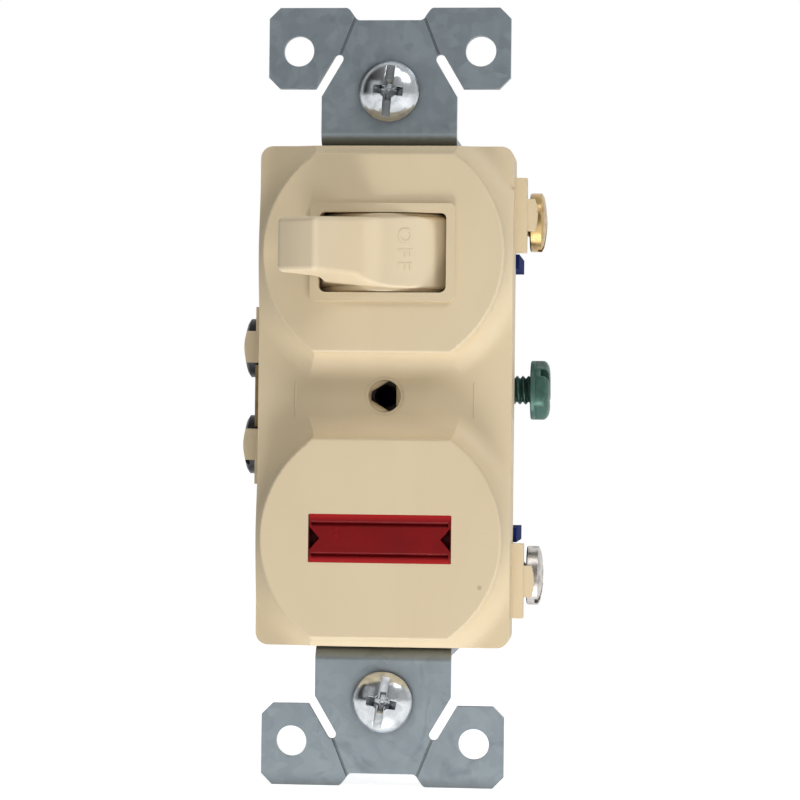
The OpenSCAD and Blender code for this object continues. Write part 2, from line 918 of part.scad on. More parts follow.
module contact_arm() {
    color([0.80, 0.62, 0.30])
        arm_place()
            difference() {
                union() {
                    block(
                        [-arm_thick / 2, -contact_arm_length - contact_radius, arm_bottom],
                        [arm_thick / 2, -pin_radius, arm_top]
                    );
                    translate([0, 0, arm_bottom])
                        cylinder(h = arm_height, r = eye_radius);
                }
                translate([0, 0, arm_bottom - cut])
                    cylinder(h = arm_height + 2 * cut, r = pin_radius + running_gap);
                translate([0, -contact_arm_length, arm_z])
                    rod_x(-cut, cut, contact_shank);
            }
}

// A contact: head towards -x, shank through a plate of the given thickness, upset tail behind it.
module contact_rivet(plate) {
    rod_x(-contact_head, 0, contact_radius);
    rod_x(0, plate, contact_shank);
    rod_x(plate, plate + contact_tail, contact_shank + 0.4);
}

module moving_contact() {
    color([0.82, 0.82, 0.80])
        arm_place()
            translate([-arm_thick / 2, -contact_arm_length, arm_z])
                contact_rivet(arm_thick);
}

module fixed_contact() {
    color([0.82, 0.82, 0.80])
        stand()
            translate([contact_plate_out, contact_y, arm_z])
                mirror([1, 0, 0])
                    contact_rivet(plate_thick);
}

module arm_pin() {
    color([0.70, 0.70, 0.70])
        stand()
            translate([arm_x, arm_y, 0]) {
                translate([0, 0, lug_bottom])
                    cylinder(h = lug_top - lug_bottom, r = pin_radius);
                translate([0, 0, lug_top])
                    cylinder(h = pin_head, r = pin_radius + pin_head);
                translate([0, 0, lug_bottom - pin_head])
                    cylinder(h = pin_head, r = pin_radius + pin_head);
            }
}

// Terminals

fin_foot = screw_z + 3.5;
fin_thick = 0.8;
fin_clear = left_screw_y - sqrt(pow(wire_head / 2, 2) - pow(fin_foot - screw_z, 2)) - moving_gap;
fin_half = min(fin_length / 2, fin_clear);
lamp_tab_reach = 2.6;
lamp_tab_half = 1.5;

module line_terminal() {
    color([0.78, 0.60, 0.30])
        stand()
            difference() {
                union() {
                    block([-plate_out, -bus_far, plate_bottom], [-plate_in, bus_far, plate_top]);
                    block(
                        [-plate_out - fin_reach, -fin_half, fin_foot],
                        [-plate_in, fin_half, fin_foot + fin_thick]
                    );
                    block([-plate_out, bus_near, bus_bottom], [-plate_in, bus_far, plate_top]);
                    block([-plate_out, bus_near, bus_bottom], [contact_plate_out, bus_far, bus_top]);
                    block(
                        [contact_plate_in, bus_near, bus_bottom],
                        [contact_plate_out, contact_y + contact_radius, bus_top]
                    );
                    block(
                        [-plate_out, -bus_far, line_lead_z - lamp_tab_half],
                        [lamp_tab_reach - body_inside, -bus_near, line_lead_z + lamp_tab_half]
                    );
                }
                for (side = [-1, 1])
                    translate([0, side * left_screw_y, screw_z])
                        rod_x(-plate_out - cut, -plate_in + cut, wire_screw_radius + running_gap);
                translate([0, contact_y, arm_z])
                    rod_x(contact_plate_in - cut, contact_plate_out + cut, contact_shank);
            }
}

// Plate of a right-hand terminal, with the foot of its tab and its tapped hole.
module right_plate(tab_bottom) {
    difference() {
        union() {
            block(
                [plate_in, right_screw_y - plate_size / 2, plate_bottom],
                [plate_out, tab_far, plate_top]
            );
            block([plate_in, tab_near, tab_bottom], [plate_out, tab_far, plate_top]);
        }
        translate([0, right_screw_y, screw_z])
            rod_x(plate_in - cut, plate_out + cut, wire_screw_radius + running_gap);
    }
}

module load_terminal() {
    color([0.78, 0.60, 0.30])
        stand() {
            right_plate(lug_bottom);
            block([arm_x - eye_radius, tab_near, lug_bottom], [plate_in, tab_far, lug_top]);
            difference() {
                for (z = [lug_bottom, lug_top - lug_thick])
                    block(
                        [arm_x - eye_radius, arm_y - eye_radius, z],
                        [arm_x + eye_radius, tab_near, z + lug_thick]
                    );
                translate([arm_x, arm_y, lug_bottom - cut])
                    cylinder(h = lug_top - lug_bottom + 2 * cut, r = pin_radius);
            }
        }
}

module neutral_terminal() {
    tab_bottom = neutral_lead_z - lamp_tab_half;
    color([0.76, 0.77, 0.78])
        stand()
            mirror([0, 1, 0]) {
                right_plate(tab_bottom);
                block(
                    [body_inside - lamp_tab_reach, tab_near, tab_bottom],
                    [plate_in, tab_far, neutral_lead_z + lamp_tab_half]
                );
            }
}

// Screws

screw_slot = 1.2;
screw_slot_depth = 1.2;

// Half of a domed screw head, from its axis out.
module head_profile(radius, height, rim) {
    rise = height - rim;
    dome = (radius * radius + rise * rise) / (2 * rise);
    intersection() {
        square([radius, height]);
        translate([0, height - dome])
            circle(r = dome);
    }
}

// Screw along +x with its head's underside at the given distance; the slot is turned by slot_turn.
module wiring_screw(underside, slot_turn) {
    top = underside + wire_head_height;
    rotate([slot_turn, 0, 0])
        difference() {
            union() {
                rod_x(underside - wire_screw_length, underside, wire_screw_radius);
                translate([underside, 0, 0])
                    rotate([0, 90, 0])
                        rotate_extrude()
                            head_profile(wire_head / 2, wire_head_height, 0.7 * wire_head_height);
            }
            block(
                [top - screw_slot_depth, -screw_slot / 2, -wire_head],
                [top + cut, screw_slot / 2, wire_head]
            );
        }
}

module left_screw(y) {
    color([0.20, 0.19, 0.20])
        stand()
            translate([0, y, screw_z])
                mirror([1, 0, 0])
                    wiring_screw(plate_out + left_wire_gap, 20);
}

module line_screw_upper() {
    left_screw(left_screw_y);
}

module line_screw_lower() {
    left_screw(-left_screw_y);
}

module load_screw() {
    color([0.84, 0.70, 0.45])
        stand()
            translate([0, right_screw_y, screw_z])
                wiring_screw(plate_out + right_wire_gap, 8);
}

module neutral_screw() {
    color([0.80, 0.81, 0.83])
        stand()
            translate([0, -right_screw_y, screw_z])
                wiring_screw(plate_out + right_wire_gap, -12);
}

// Green hexagon-head screw with a washer face and a slot.
washer_face = 0.7;
module ground_screw() {
    underside = ground_out + right_wire_gap;
    top = underside + wire_head_height;
    color([0.29, 0.41, 0.38])
        stand()
            translate([0, ground_screw_y, screw_z])
                difference() {
                    union() {
                        rod_x(underside - wire_screw_length, underside, wire_screw_radius);
                        rod_x(underside, underside + washer_face, wire_head / 2);
                        intersection() {
                            translate([underside, 0, 0])
                                rotate([0, 90, 0])
                                    cylinder(h = wire_head_height, r = wire_head / 2, $fn = 6);
                            translate([underside, 0, 0])
                                rotate([0, 90, 0])
                                    rotate_extrude()
                                        head_profile(wire_head / 2, wire_head_height, 0.8 * wire_head_height);
                        }
                    }
                    block(
                        [top - screw_slot_depth, -screw_slot / 2, -wire_head],
                        [top + cut, screw_slot / 2, wire_head]
                    );
                }
}

// Screw through the strap, with a slot and a cross in its head and a waist where the strap and retainer sit.
cross_length = 4.6;
cross_width = 1.1;
cross_depth = 1.7;
waist_length = strap_thick + retainer_thick + 0.5;
waist_radius = mount_radius - 0.25;
module mounting_screw(side, turn) {
    color([0.76, 0.78, 0.80])
        stand()
            translate([0, side * mount_y, strap_thick])
                rotate(turn)
                    difference() {
                        union() {
                            translate([0, 0, -mount_length])
                                cylinder(h = mount_length - waist_length, r = mount_radius);
                            translate([0, 0, -waist_length])
                                cylinder(h = waist_length, r = waist_radius);
                            rotate_extrude()
                                head_profile(mount_head / 2, mount_head_height, 0.35 * mount_head_height);
                        }
                        block(
                            [-screw_slot / 2, -mount_head, mount_head_height - screw_slot_depth],
                            [screw_slot / 2, mount_head, mount_head_height + cut]
                        );
                        for (way = [0, 90])
                            rotate(way)
                                block(
                                    [-cross_length / 2, -cross_width / 2, mount_head_height - cross_depth],
                                    [cross_length / 2, cross_width / 2, mount_head_height + cut]
                                );
                    }
}

module mounting_screw_top() {
    mounting_screw(1, -12);
}

module mounting_screw_bottom() {
    mounting_screw(-1, -15);
}

retainer_radius = 3.6;
module screw_retainers() {
    color([0.55, 0.20, 0.15])
        stand()
            for (side = [-1, 1])
                translate([0, side * mount_y, -retainer_thick])
                    difference() {
                        cylinder(h = retainer_thick, r = retainer_radius);
                        translate([0, 0, -cut])
                            cylinder(h = retainer_thick + 2 * cut, r = mount_radius + running_gap);
                    }
}

module plate_screw_bushing() {
    color([0.35, 0.33, 0.30])
        stand()
            translate([0, 0, -bush_length])
                difference() {
                    cylinder(h = bush_length, d = bush_diameter);
                    translate([0, 0, -cut])
                        cylinder(h = bush_length + 2 * cut, r = bush_tap);
                }
}

module housing_screws() {
    color([0.72, 0.73, 0.75])
        stand()
            four_ways()
                translate([housing_x, housing_y, -body_depth]) {
                    cylinder(h = body_depth - skirt_depth + housing_reach, r = housing_radius);
                    difference() {
                        mirror([0, 0, 1])
                            rotate_extrude()
                                head_profile(housing_head / 2, housing_head_height, housing_head_height / 2);
                        block(
                            [-housing_head, -screw_slot / 3, -housing_head_height - cut],
                            [housing_head, screw_slot / 3, -housing_head_height / 2]
                        );
                    }
                }
}

// Pilot light

lens_front = 1.3;
lens_rib = 1.2;
lens_rib_half = 1.35;
module pilot_lens() {
    inner_x = lens_length / 2 - lens_wall;
    inner_y = lens_width / 2 - lens_wall;
    color([0.46, 0.10, 0.11])
        stand()
            translate([0, lamp_y, 0])
                difference() {
                    union() {
                        translate([0, 0, lens_back])
                            linear_extrude(face_height - lens_back)
                                square([lens_length, lens_width], center = true);
                        translate([0, 0, lens_back])
                            linear_extrude(ceiling - lens_back)
                                square([lens_length, lens_width] + 2 * lens_flange * [1, 1], center = true);
                    }
                    translate([0, 0, lens_back - cut])
                        linear_extrude(face_height - lens_front - lens_back + cut)
                            polygon([
                                [inner_x, -inner_y], [inner_x, -lens_rib_half], [inner_x - lens_rib, 0],
                                [inner_x, lens_rib_half], [inner_x, inner_y],
                                [-inner_x, inner_y], [-inner_x, lens_rib_half], [lens_rib - inner_x, 0],
                                [-inner_x, -lens_rib_half], [-inner_x, -inner_y]
                            ]);
                }
}

// Bulb with a round end on the left and a flat pinch on the right.
module bulb(radius, left, right) {
    rod_x(left, right, radius);
    translate([left, 0, 0])
        sphere(r = radius);
}

module neon_lamp() {
    color([0.85, 0.88, 0.90, 0.5])
        stand()
            translate([0, lamp_y, lamp_z])
                difference() {
                    bulb(bulb_radius, lamp_left, lamp_right);
                    bulb(bulb_radius - bulb_wall, lamp_left, lamp_right - bulb_wall);
                }
}

electrode_radius = 0.45;
module lamp_electrodes() {
    color([0.60, 0.60, 0.58])
        stand()
            for (side = [-1, 1])
                translate([0, lamp_y + side * electrode_gap, lamp_z])
                    rod_x(lamp_left, lamp_right - bulb_wall, electrode_radius);
}

module lamp_resistor() {
    color([0.72, 0.58, 0.40])
        stand()
            translate([0, line_lead_y, line_lead_z])
                rod_x(-resistor_half, resistor_half, resistor_radius);
}

// A wire that runs straight from point to point, with round corners.
module wire_run(points) {
    for (i = [0:len(points) - 2]) {
        step = points[i + 1] - points[i];
        translate(points[i])
            rotate([0, acos(step[2] / norm(step)), atan2(step[1], step[0])])
                cylinder(h = norm(step), r = lead_radius);
    }
    for (i = [1:len(points) - 2])
        translate(points[i])
            sphere(r = lead_radius);
}

module lamp_leads() {
    line_y = lamp_y + electrode_gap;
    neutral_y = lamp_y - electrode_gap;
    line_x = lamp_tab_reach / 2 - body_inside;
    neutral_x = body_inside - lamp_tab_reach / 2;
    color([0.80, 0.80, 0.78])
        stand() {
            wire_run([
                [lamp_right, line_y, lamp_z], [lead_drop_x, line_y, lamp_z],
                [lead_drop_x, line_y, line_lead_z], [lead_drop_x, line_lead_y, line_lead_z],
                [resistor_half, line_lead_y, line_lead_z]
            ]);
            wire_run([
                [-resistor_half, line_lead_y, line_lead_z], [line_x, line_lead_y, line_lead_z],
                [line_x, -bus_far, line_lead_z]
            ]);
            wire_run([
                [lamp_right, neutral_y, lamp_z], [lead_drop_x, neutral_y, lamp_z],
                [lead_drop_x, neutral_y, neutral_lead_z], [neutral_x, neutral_y, neutral_lead_z],
                [neutral_x, -tab_near, neutral_lead_z]
            ]);
        }
}

strap();
front_cover();
rear_body();
toggle_lever();
toggle_spring();
contact_arm();
arm_pin();
contact_spring();
moving_contact();
fixed_contact();
line_terminal();
load_terminal();
neutral_terminal();
line_screw_upper();
line_screw_lower();
load_screw();
neutral_screw();
ground_screw();
mounting_screw_top();
mounting_screw_bottom();
screw_retainers();
plate_screw_bushing();
housing_screws();
pilot_lens();
neon_lamp();
lamp_electrodes();
lamp_resistor();
lamp_leads();
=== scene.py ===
import json
import math

import bmesh
import bpy
from mathutils import Matrix, Vector


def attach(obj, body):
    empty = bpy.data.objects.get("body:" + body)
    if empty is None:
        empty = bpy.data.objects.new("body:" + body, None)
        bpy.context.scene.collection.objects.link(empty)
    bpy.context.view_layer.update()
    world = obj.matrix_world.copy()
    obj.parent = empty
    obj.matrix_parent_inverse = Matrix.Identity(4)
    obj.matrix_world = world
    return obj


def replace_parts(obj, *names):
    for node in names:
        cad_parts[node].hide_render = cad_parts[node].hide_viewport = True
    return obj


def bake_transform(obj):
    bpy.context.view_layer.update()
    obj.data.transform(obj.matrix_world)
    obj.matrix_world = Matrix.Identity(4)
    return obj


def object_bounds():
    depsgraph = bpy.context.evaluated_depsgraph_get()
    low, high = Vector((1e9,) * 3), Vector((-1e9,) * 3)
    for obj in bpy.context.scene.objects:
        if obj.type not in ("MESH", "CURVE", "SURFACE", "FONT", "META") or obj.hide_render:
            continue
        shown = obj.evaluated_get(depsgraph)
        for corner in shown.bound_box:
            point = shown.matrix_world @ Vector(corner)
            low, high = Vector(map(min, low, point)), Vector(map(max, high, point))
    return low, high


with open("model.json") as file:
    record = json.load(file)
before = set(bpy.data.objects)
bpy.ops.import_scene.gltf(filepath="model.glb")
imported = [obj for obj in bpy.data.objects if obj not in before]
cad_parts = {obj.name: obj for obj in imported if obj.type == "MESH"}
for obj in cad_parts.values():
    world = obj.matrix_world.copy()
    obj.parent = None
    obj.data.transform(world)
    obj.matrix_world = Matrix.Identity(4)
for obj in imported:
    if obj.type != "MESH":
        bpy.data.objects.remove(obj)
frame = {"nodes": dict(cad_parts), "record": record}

CAD_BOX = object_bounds()
MM = 0.001

# Sizes below are millimetres in the device's own frame: x right, y up the wall, z out to the room.
# DEVICE turns them into the frame's metres.
DEVICE = Matrix.Rotation(math.pi / 2, 4, "X") @ Matrix.Scale(MM, 4)

# Middles of the two round faces: the toggle's above, the lens's below
FACE_Y = 19.25
LENS_Y = -FACE_Y


# Camera, fitted to the strap's holes, the faces, the lens and the cover's edges in the photograph

IMAGE_SIDE = 800
CAMERA_DISTANCE = 400 * MM
CAMERA_AZIMUTH = math.radians(5.2)
CAMERA_ELEVATION = math.radians(-0.8)
CAMERA_ROLL = math.radians(0.64)
PIXELS_PER_MM = 7.298
OBJECT_CENTRE_PX = (386.7, 396.5)
SENSOR = 36.0
CLIP_NEAR = 0.01
CLIP_FAR = 20


def make_camera():
    """Camera at the photograph's angle, with the object's origin on the right pixel."""
    data = bpy.data.cameras.new("camera")
    data.sensor_width = SENSOR
    data.lens = PIXELS_PER_MM / MM * CAMERA_DISTANCE * SENSOR / IMAGE_SIDE
    data.clip_start = CLIP_NEAR
    data.clip_end = CLIP_FAR
    camera = bpy.data.objects.new("camera", data)
    bpy.context.scene.collection.objects.link(camera)
    turn = (
        Matrix.Rotation(CAMERA_AZIMUTH, 4, "Z")
        @ Matrix.Rotation(math.pi / 2 - CAMERA_ELEVATION, 4, "X")
        @ Matrix.Rotation(CAMERA_ROLL, 4, "Z")
    )
    aside = (IMAGE_SIDE / 2 - OBJECT_CENTRE_PX[0]) / PIXELS_PER_MM * MM
    above = (OBJECT_CENTRE_PX[1] - IMAGE_SIDE / 2) / PIXELS_PER_MM * MM
    camera.matrix_world = turn @ Matrix.Translation((aside, above, CAMERA_DISTANCE))
    bpy.context.scene.camera = camera


make_camera()


# Materials


def srgb(red, green, blue):
    """Linear colour of an 8-bit screen colour."""
    linear = []
    for value in (red, green, blue):
        share = value / 255
        linear.append(share / 12.92 if share <= 0.04045 else ((share + 0.055) / 1.055) ** 2.4)
    return (*linear, 1.0)


def darker(color, share):
    return tuple(share * value for value in color[:3]) + (1.0,)


class Paint:
    """A Principled material whose colour, roughness and surface come from procedural nodes."""

    def __init__(self, name, roughness, metallic=0.0):
        self.material = bpy.data.materials.new(name)
        self.material.use_nodes = True
        self.tree = self.material.node_tree
        self.shader = self.tree.nodes["Principled BSDF"]
        self.shader.inputs["Roughness"].default_value = roughness
        self.shader.inputs["Metallic"].default_value = metallic
        self.place = self.node("ShaderNodeTexCoord").outputs["Object"]
        self.normal = None

    def node(self, kind, settings=None, **inputs):
        made = self.tree.nodes.new(kind)
        for key, value in (settings or {}).items():
            setattr(made, key, value)
        for key, value in inputs.items():
            self.feed(made.inputs[key], value)
        return made

    def feed(self, socket, value):
        """Links a node's output to a socket, or sets the socket to a constant."""
        if isinstance(value, bpy.types.NodeSocket):
            self.tree.links.new(value, socket)
        else:
            socket.default_value = value

    def stretched(self, x, y, z):
        """Object coordinates scaled along each axis, for grain that runs one way."""
        return self.node("ShaderNodeMapping", Vector=self.place, Scale=(x, y, z)).outputs[0]

    def along(self, axis):
        """One of the object coordinates."""
        return self.node("ShaderNodeSeparateXYZ", Vector=self.place).outputs[axis]

    def noise(self, scale, detail=3.0, vector=None, warp=0.0):
        made = self.node("ShaderNodeTexNoise", Vector=vector or self.place)
        self.feed(made.inputs["Scale"], scale)
        self.feed(made.inputs["Detail"], detail)
        self.feed(made.inputs["Distortion"], warp)
        return made.outputs[0]

    def cells(self, scale, vector):
        """A random colour for each cell of a cell pattern."""
        made = self.node("ShaderNodeTexVoronoi", Vector=vector)
        self.feed(made.inputs["Scale"], scale)
        return made.outputs["Color"]

    def remap(self, value, low, high, to_low, to_high):
        made = self.node("ShaderNodeMapRange", Value=value)
        for key, number in zip(("From Min", "From Max", "To Min", "To Max"), (low, high, to_low, to_high)):
            self.feed(made.inputs[key], number)
        return made.outputs[0]

    def maths(self, operation, first, second):
        made = self.node("ShaderNodeMath", {"operation": operation})
        self.feed(made.inputs[0], first)
        self.feed(made.inputs[1], second)
        return made.outputs[0]

    def apart(self, value, middle):
        """How far a value lies from a middle, either way."""
        return self.maths("ABSOLUTE", self.maths("SUBTRACT", value, middle), 0.0)

    def mixed(self, share, first, second, blend="MIX"):
        made = self.node("ShaderNodeMix", {"data_type": "RGBA", "blend_type": blend})
        self.feed(made.inputs["Factor"], share)
        self.feed(made.inputs[6], first)
        self.feed(made.inputs[7], second)
        return made.outputs[2]

    def ramp(self, share, *stops):
        made = self.node("ShaderNodeValToRGB", Fac=share)
        elements = made.color_ramp.elements
        while len(elements) < len(stops):
            elements.new(0.5)
        for element, (at, color) in zip(elements, stops):
            element.position = at
            element.color = color
        return made.outputs[0]

    def color(self, value):
        self.feed(self.shader.inputs["Base Color"], value)

    def roughness(self, value):
        self.feed(self.shader.inputs["Roughness"], value)

    def bump(self, height, depth):
        """Adds a bump of the given depth in millimetres to those before it."""
        made = self.node("ShaderNodeBump", Height=height, Distance=depth * MM, Strength=1.0)
        if self.normal:
            self.tree.links.new(self.normal, made.inputs["Normal"])
        self.normal = made.outputs[0]
        self.feed(self.shader.inputs["Normal"], self.normal)

    def crevice(self, reach):
        """Share of open sky over a point, looking the given number of millimetres around it."""
        made = self.node("ShaderNodeAmbientOcclusion", {"samples": 6}, Distance=reach * MM)
        return made.outputs["AO"]


# A small dark spot on the lower face
SPECK = DEVICE @ Vector((13.5, -25.6, 8.0))
SPECK_CORE = 0.12
SPECK_EDGE = 0.42


def moulded(name, base, shade, gloss, shine, speck=None):
    """Moulded plastic: faint flow marks, fine grain, painted shade in the corners."""
    paint = Paint(name, gloss)
    paint.shader.inputs["Specular IOR Level"].default_value = shine
    flow = paint.noise(70, 4.0, paint.stretched(1.0, 1.0, 0.45), 0.6)
    grain = paint.noise(2600, 2.0)
    tone = paint.ramp(flow, (0.25, shade), (0.75, base))
    tone = paint.mixed(paint.remap(grain, 0.3, 0.7, 0.0, 0.07), tone, shade)
    # Painted shade: the colour darkens where little open sky reaches, in corners and recesses
    painted_shade = paint.remap(paint.crevice(0.7), 0.2, 0.9, 0.2, 0.0)
    tone = paint.mixed(painted_shade, tone, darker(shade, 0.55))
    if speck:
        away = paint.node("ShaderNodeVectorMath", {"operation": "DISTANCE"})
        paint.feed(away.inputs[0], paint.place)
        paint.feed(away.inputs[1], speck)
        spot = paint.remap(away.outputs["Value"], SPECK_CORE * MM, SPECK_EDGE * MM, 0.5, 0.0)
        tone = paint.mixed(spot, tone, srgb(128, 112, 84))
    paint.color(tone)
    paint.roughness(paint.remap(paint.noise(420, 3.0), 0.3, 0.7, gloss - 0.05, gloss + 0.07))
    paint.bump(paint.noise(160, 2.0), 0.012)
    paint.bump(grain, 0.004)
    return paint


SPANGLE_WARP = 0.0012


def galvanised(name):
    """Zinc-plated sheet: soft spangle, rolling streaks, dull smudges, painted shade in the corners and
    round the screw heads.
    """
    paint = Paint(name, 0.42, 1.0)
    ripple = paint.node("ShaderNodeTexNoise", Vector=paint.place).outputs[1]
    flakes = paint.cells(700, paint.mixed(SPANGLE_WARP, paint.place, ripple, "ADD"))
    flake = paint.node("ShaderNodeSeparateColor", Color=flakes).outputs[0]
    streak = paint.noise(900, 3.0, paint.stretched(1.0, 1.0, 0.06))
    cloud = paint.noise(95, 5.0, None, 1.2)
    smudge = paint.remap(paint.noise(150, 4.0, None, 2.0), 0.56, 0.74, 0.0, 0.42)
    tone = paint.ramp(flake, (0.0, srgb(143, 153, 159)), (1.0, srgb(153, 163, 169)))
    tone = paint.mixed(paint.remap(cloud, 0.3, 0.7, 0.0, 0.5), tone, srgb(130, 141, 148))
    tone = paint.mixed(paint.remap(streak, 0.35, 0.75, 0.0, 0.16), tone, srgb(160, 168, 173))
    tone = paint.mixed(smudge, tone, srgb(104, 110, 116))
    # Painted shade: darker where little open sky reaches, in the bends and round the screw heads
    painted_shade = paint.remap(paint.crevice(2.0), 0.3, 0.95, 0.6, 0.0)
    paint.color(paint.mixed(painted_shade, tone, srgb(70, 66, 58)))
    sheen = paint.remap(flake, 0.0, 1.0, 0.42, 0.47)
    paint.roughness(paint.maths("ADD", sheen, paint.maths("MULTIPLY", smudge, 0.2)))
    paint.bump(flake, 0.0015)
    paint.bump(cloud, 0.03)
    paint.bump(streak, 0.002)
    return paint


def plated(name, bright, dull, gloss, wear=0.35, metallic=1.0):
    """Plated or coated metal: patchy tone, fine scratches, painted shade in the corners, slots and thread
    roots.
    """
    paint = Paint(name, gloss, metallic)
    patch = paint.noise(620, 4.0, None, 0.8)
    scratch = paint.noise(1500, 2.0, paint.stretched(1.0, 0.12, 1.0))
    tone = paint.mixed(paint.remap(patch, 0.42, 0.72, 0.0, wear), bright, dull)
    # Painted shade: the colour goes nearly black where little open sky reaches
    painted_shade = paint.remap(paint.crevice(0.8), 0.25, 0.9, 0.85, 0.0)
    paint.color(paint.mixed(painted_shade, tone, darker(dull, 0.2)))
    paint.roughness(paint.remap(patch, 0.3, 0.75, gloss - 0.05, gloss + 0.12))
    paint.bump(scratch, 0.003)
    paint.bump(patch, 0.006)
    return paint


def fibre(name):
    """Pressed red fibre: short crossed strands in a dull red sheet."""
    paint = Paint(name, 0.75)
    along = paint.noise(900, 4.0, paint.stretched(0.15, 1.0, 1.0), 1.0)
    across = paint.noise(900, 4.0, paint.stretched(1.0, 1.0, 0.15), 1.0)
    strands = paint.maths("MAXIMUM", along, across)
    paint.color(paint.ramp(strands, (0.4, srgb(104, 36, 28)), (0.7, srgb(158, 66, 50))))
    paint.bump(strands, 0.02)
    return paint


RIM_HIGHLIGHT_FROM = 2.3
RIM_HIGHLIGHT_TO = 3.0
LENS_GLOW = (0.0008, 0.0001, 0.0001)


def red_glass(name):
    """Red plastic of the pilot lens: painted highlight along its thin rims, painted shade in its grooves
    and end pits.
    """
    paint = Paint(name, 0.2)
    cloud = paint.noise(240, 3.0)
    tone = paint.ramp(cloud, (0.3, srgb(110, 4, 8)), (0.7, srgb(124, 6, 10)))
    # Painted highlight: a lighter red along the thin top and bottom rims
    apart = paint.apart(paint.along(2), LENS_Y * MM)
    rim = paint.remap(apart, RIM_HIGHLIGHT_FROM * MM, RIM_HIGHLIGHT_TO * MM, 0.0, 0.75)
    tone = paint.mixed(rim, tone, srgb(176, 30, 32))
    # Painted shade: near black in the grooves and end pits where little open sky reaches, with their
    # reflection dimmed there too
    open_sky = paint.crevice(0.9)
    shadow = paint.remap(open_sky, 0.35, 0.98, 0.95, 0.0)
    paint.color(paint.mixed(shadow, tone, srgb(26, 1, 4)))
    paint.feed(paint.shader.inputs["Specular IOR Level"], paint.remap(open_sky, 0.5, 0.9, 0.02, 0.2))
    paint.shader.inputs["IOR"].default_value = 1.49
    paint.shader.inputs["Subsurface Weight"].default_value = 0.15
    paint.shader.inputs["Subsurface Radius"].default_value = LENS_GLOW
    paint.roughness(paint.remap(cloud, 0.3, 0.7, 0.18, 0.28))
    paint.bump(paint.noise(500, 2.0), 0.003)
    return paint


def clear_glass(name):
    """Thin bulb glass with a few drawn streaks."""
    paint = Paint(name, 0.03)
    streak = paint.noise(600, 2.0, paint.stretched(0.1, 1.0, 1.0))
    paint.color(paint.ramp(streak, (0.3, srgb(226, 232, 232)), (0.7, srgb(244, 246, 245))))
    paint.shader.inputs["Transmission Weight"].default_value = 1.0
    paint.bump(streak, 0.004)
    return paint


BAND_FIRST = -1.9
BAND_STEP = 1.2
BAND_CORE = 0.26
BAND_EDGE = 0.30


def banded(name):
    """Resistor coat with four coloured rings along x."""
    paint = Paint(name, 0.4)
    along = paint.along(0)
    rings = [srgb(224, 150, 40), srgb(150, 40, 30), srgb(224, 190, 40), srgb(186, 150, 70)]
    tone = paint.ramp(paint.noise(900), (0.3, srgb(196, 160, 112)), (0.7, srgb(206, 172, 126)))
    for index, ring in enumerate(rings):
        apart = paint.apart(along, (BAND_FIRST + BAND_STEP * index) * MM)
        tone = paint.mixed(paint.remap(apart, BAND_CORE * MM, BAND_EDGE * MM, 1.0, 0.0), tone, ring)
    paint.color(tone)
    paint.bump(paint.noise(700), 0.01)
    return paint


PAINTS = {
    "ivory_plastic": moulded("ivory_plastic", srgb(217, 200, 168), srgb(210, 192, 159), 0.5, 0.4, SPECK),
    "ivory_toggle": moulded("ivory_toggle", srgb(222, 206, 177), srgb(216, 199, 168), 0.46, 0.4),
    "blue_plastic": moulded("blue_plastic", srgb(24, 42, 102), srgb(19, 34, 86), 0.85, 0.1),
    "zinc_strap": galvanised("zinc_strap"),
    "bright_zinc": plated("bright_zinc", srgb(206, 210, 213), srgb(132, 140, 147), 0.16, 0.5),
    "brass": plated("brass", srgb(192, 164, 114), srgb(128, 100, 58), 0.28, 0.6),
    # Brass darkened as painted shade, for the terminals at the sides
    "painted_shade_brass": plated("painted_shade_brass", srgb(140, 118, 84), srgb(92, 74, 48), 0.42, 0.6),
    "silver": plated("silver", srgb(196, 191, 186), srgb(112, 104, 98), 0.26, 0.8),
    "black_steel": plated("black_steel", srgb(52, 52, 56), srgb(30, 30, 33), 0.4, 0.6, 0.7),
    "green_steel": plated("green_steel", srgb(62, 98, 88), srgb(36, 62, 56), 0.42, 0.7, 0.4),
    "dark_steel": plated("dark_steel", srgb(70, 68, 66), srgb(46, 44, 42), 0.42, 0.6),
    "spring_steel": plated("spring_steel", srgb(188, 190, 194), srgb(140, 143, 148), 0.25),
    "red_fibre": fibre("red_fibre"),
    "red_lens": red_glass("red_lens"),
    "lamp_glass": clear_glass("lamp_glass"),
    "resistor_body": banded("resistor_body"),
    "tinned_wire": plated("tinned_wire", srgb(206, 208, 208), srgb(168, 170, 170), 0.3),
}

# Nodes painted apart from the usual finish of their slot: the terminals in a darker brass as painted shade,
# the neutral screw duller
OWN_PAINT = {
    "line_terminal": "painted_shade_brass",
    "load_terminal": "painted_shade_brass",
    "neutral_screw": "silver",
}


def finish_of(node):
    return next(row["material_slot"] for row in frame["record"]["subparts"] if row["node"] == node)


def paint_frame():
    """Gives every CAD node its procedural finish."""
    for name, obj in frame["nodes"].items():
        obj.data.materials.clear()
        obj.data.materials.append(PAINTS[OWN_PAINT.get(name, finish_of(name))].material)


paint_frame()


# CAD nodes that stay: modifiers round their sharp edges, and their faces are shaded smooth.
# The number is the width of the rounded edge.

ROUNDED = {
    "front_cover": 0.3,
    "rear_body": 0.3,
    "strap": 0.14,
    "line_terminal": 0.12,
    "load_terminal": 0.12,
    "neutral_terminal": 0.12,
    "contact_arm": 0.1,
    "arm_pin": 0.08,
    "moving_contact": 0.12,
    "fixed_contact": 0.12,
    "screw_retainers": 0.12,
    "lamp_resistor": 0.3,
    "neon_lamp": 0.05,
    "lamp_electrodes": 0.05,
    "lamp_leads": 0.05,
}
WELD_REACH = 0.002
PLANAR_ANGLE = math.radians(0.3)
BEVEL_ANGLE = math.radians(28)
BEVEL_SEGMENTS = 3


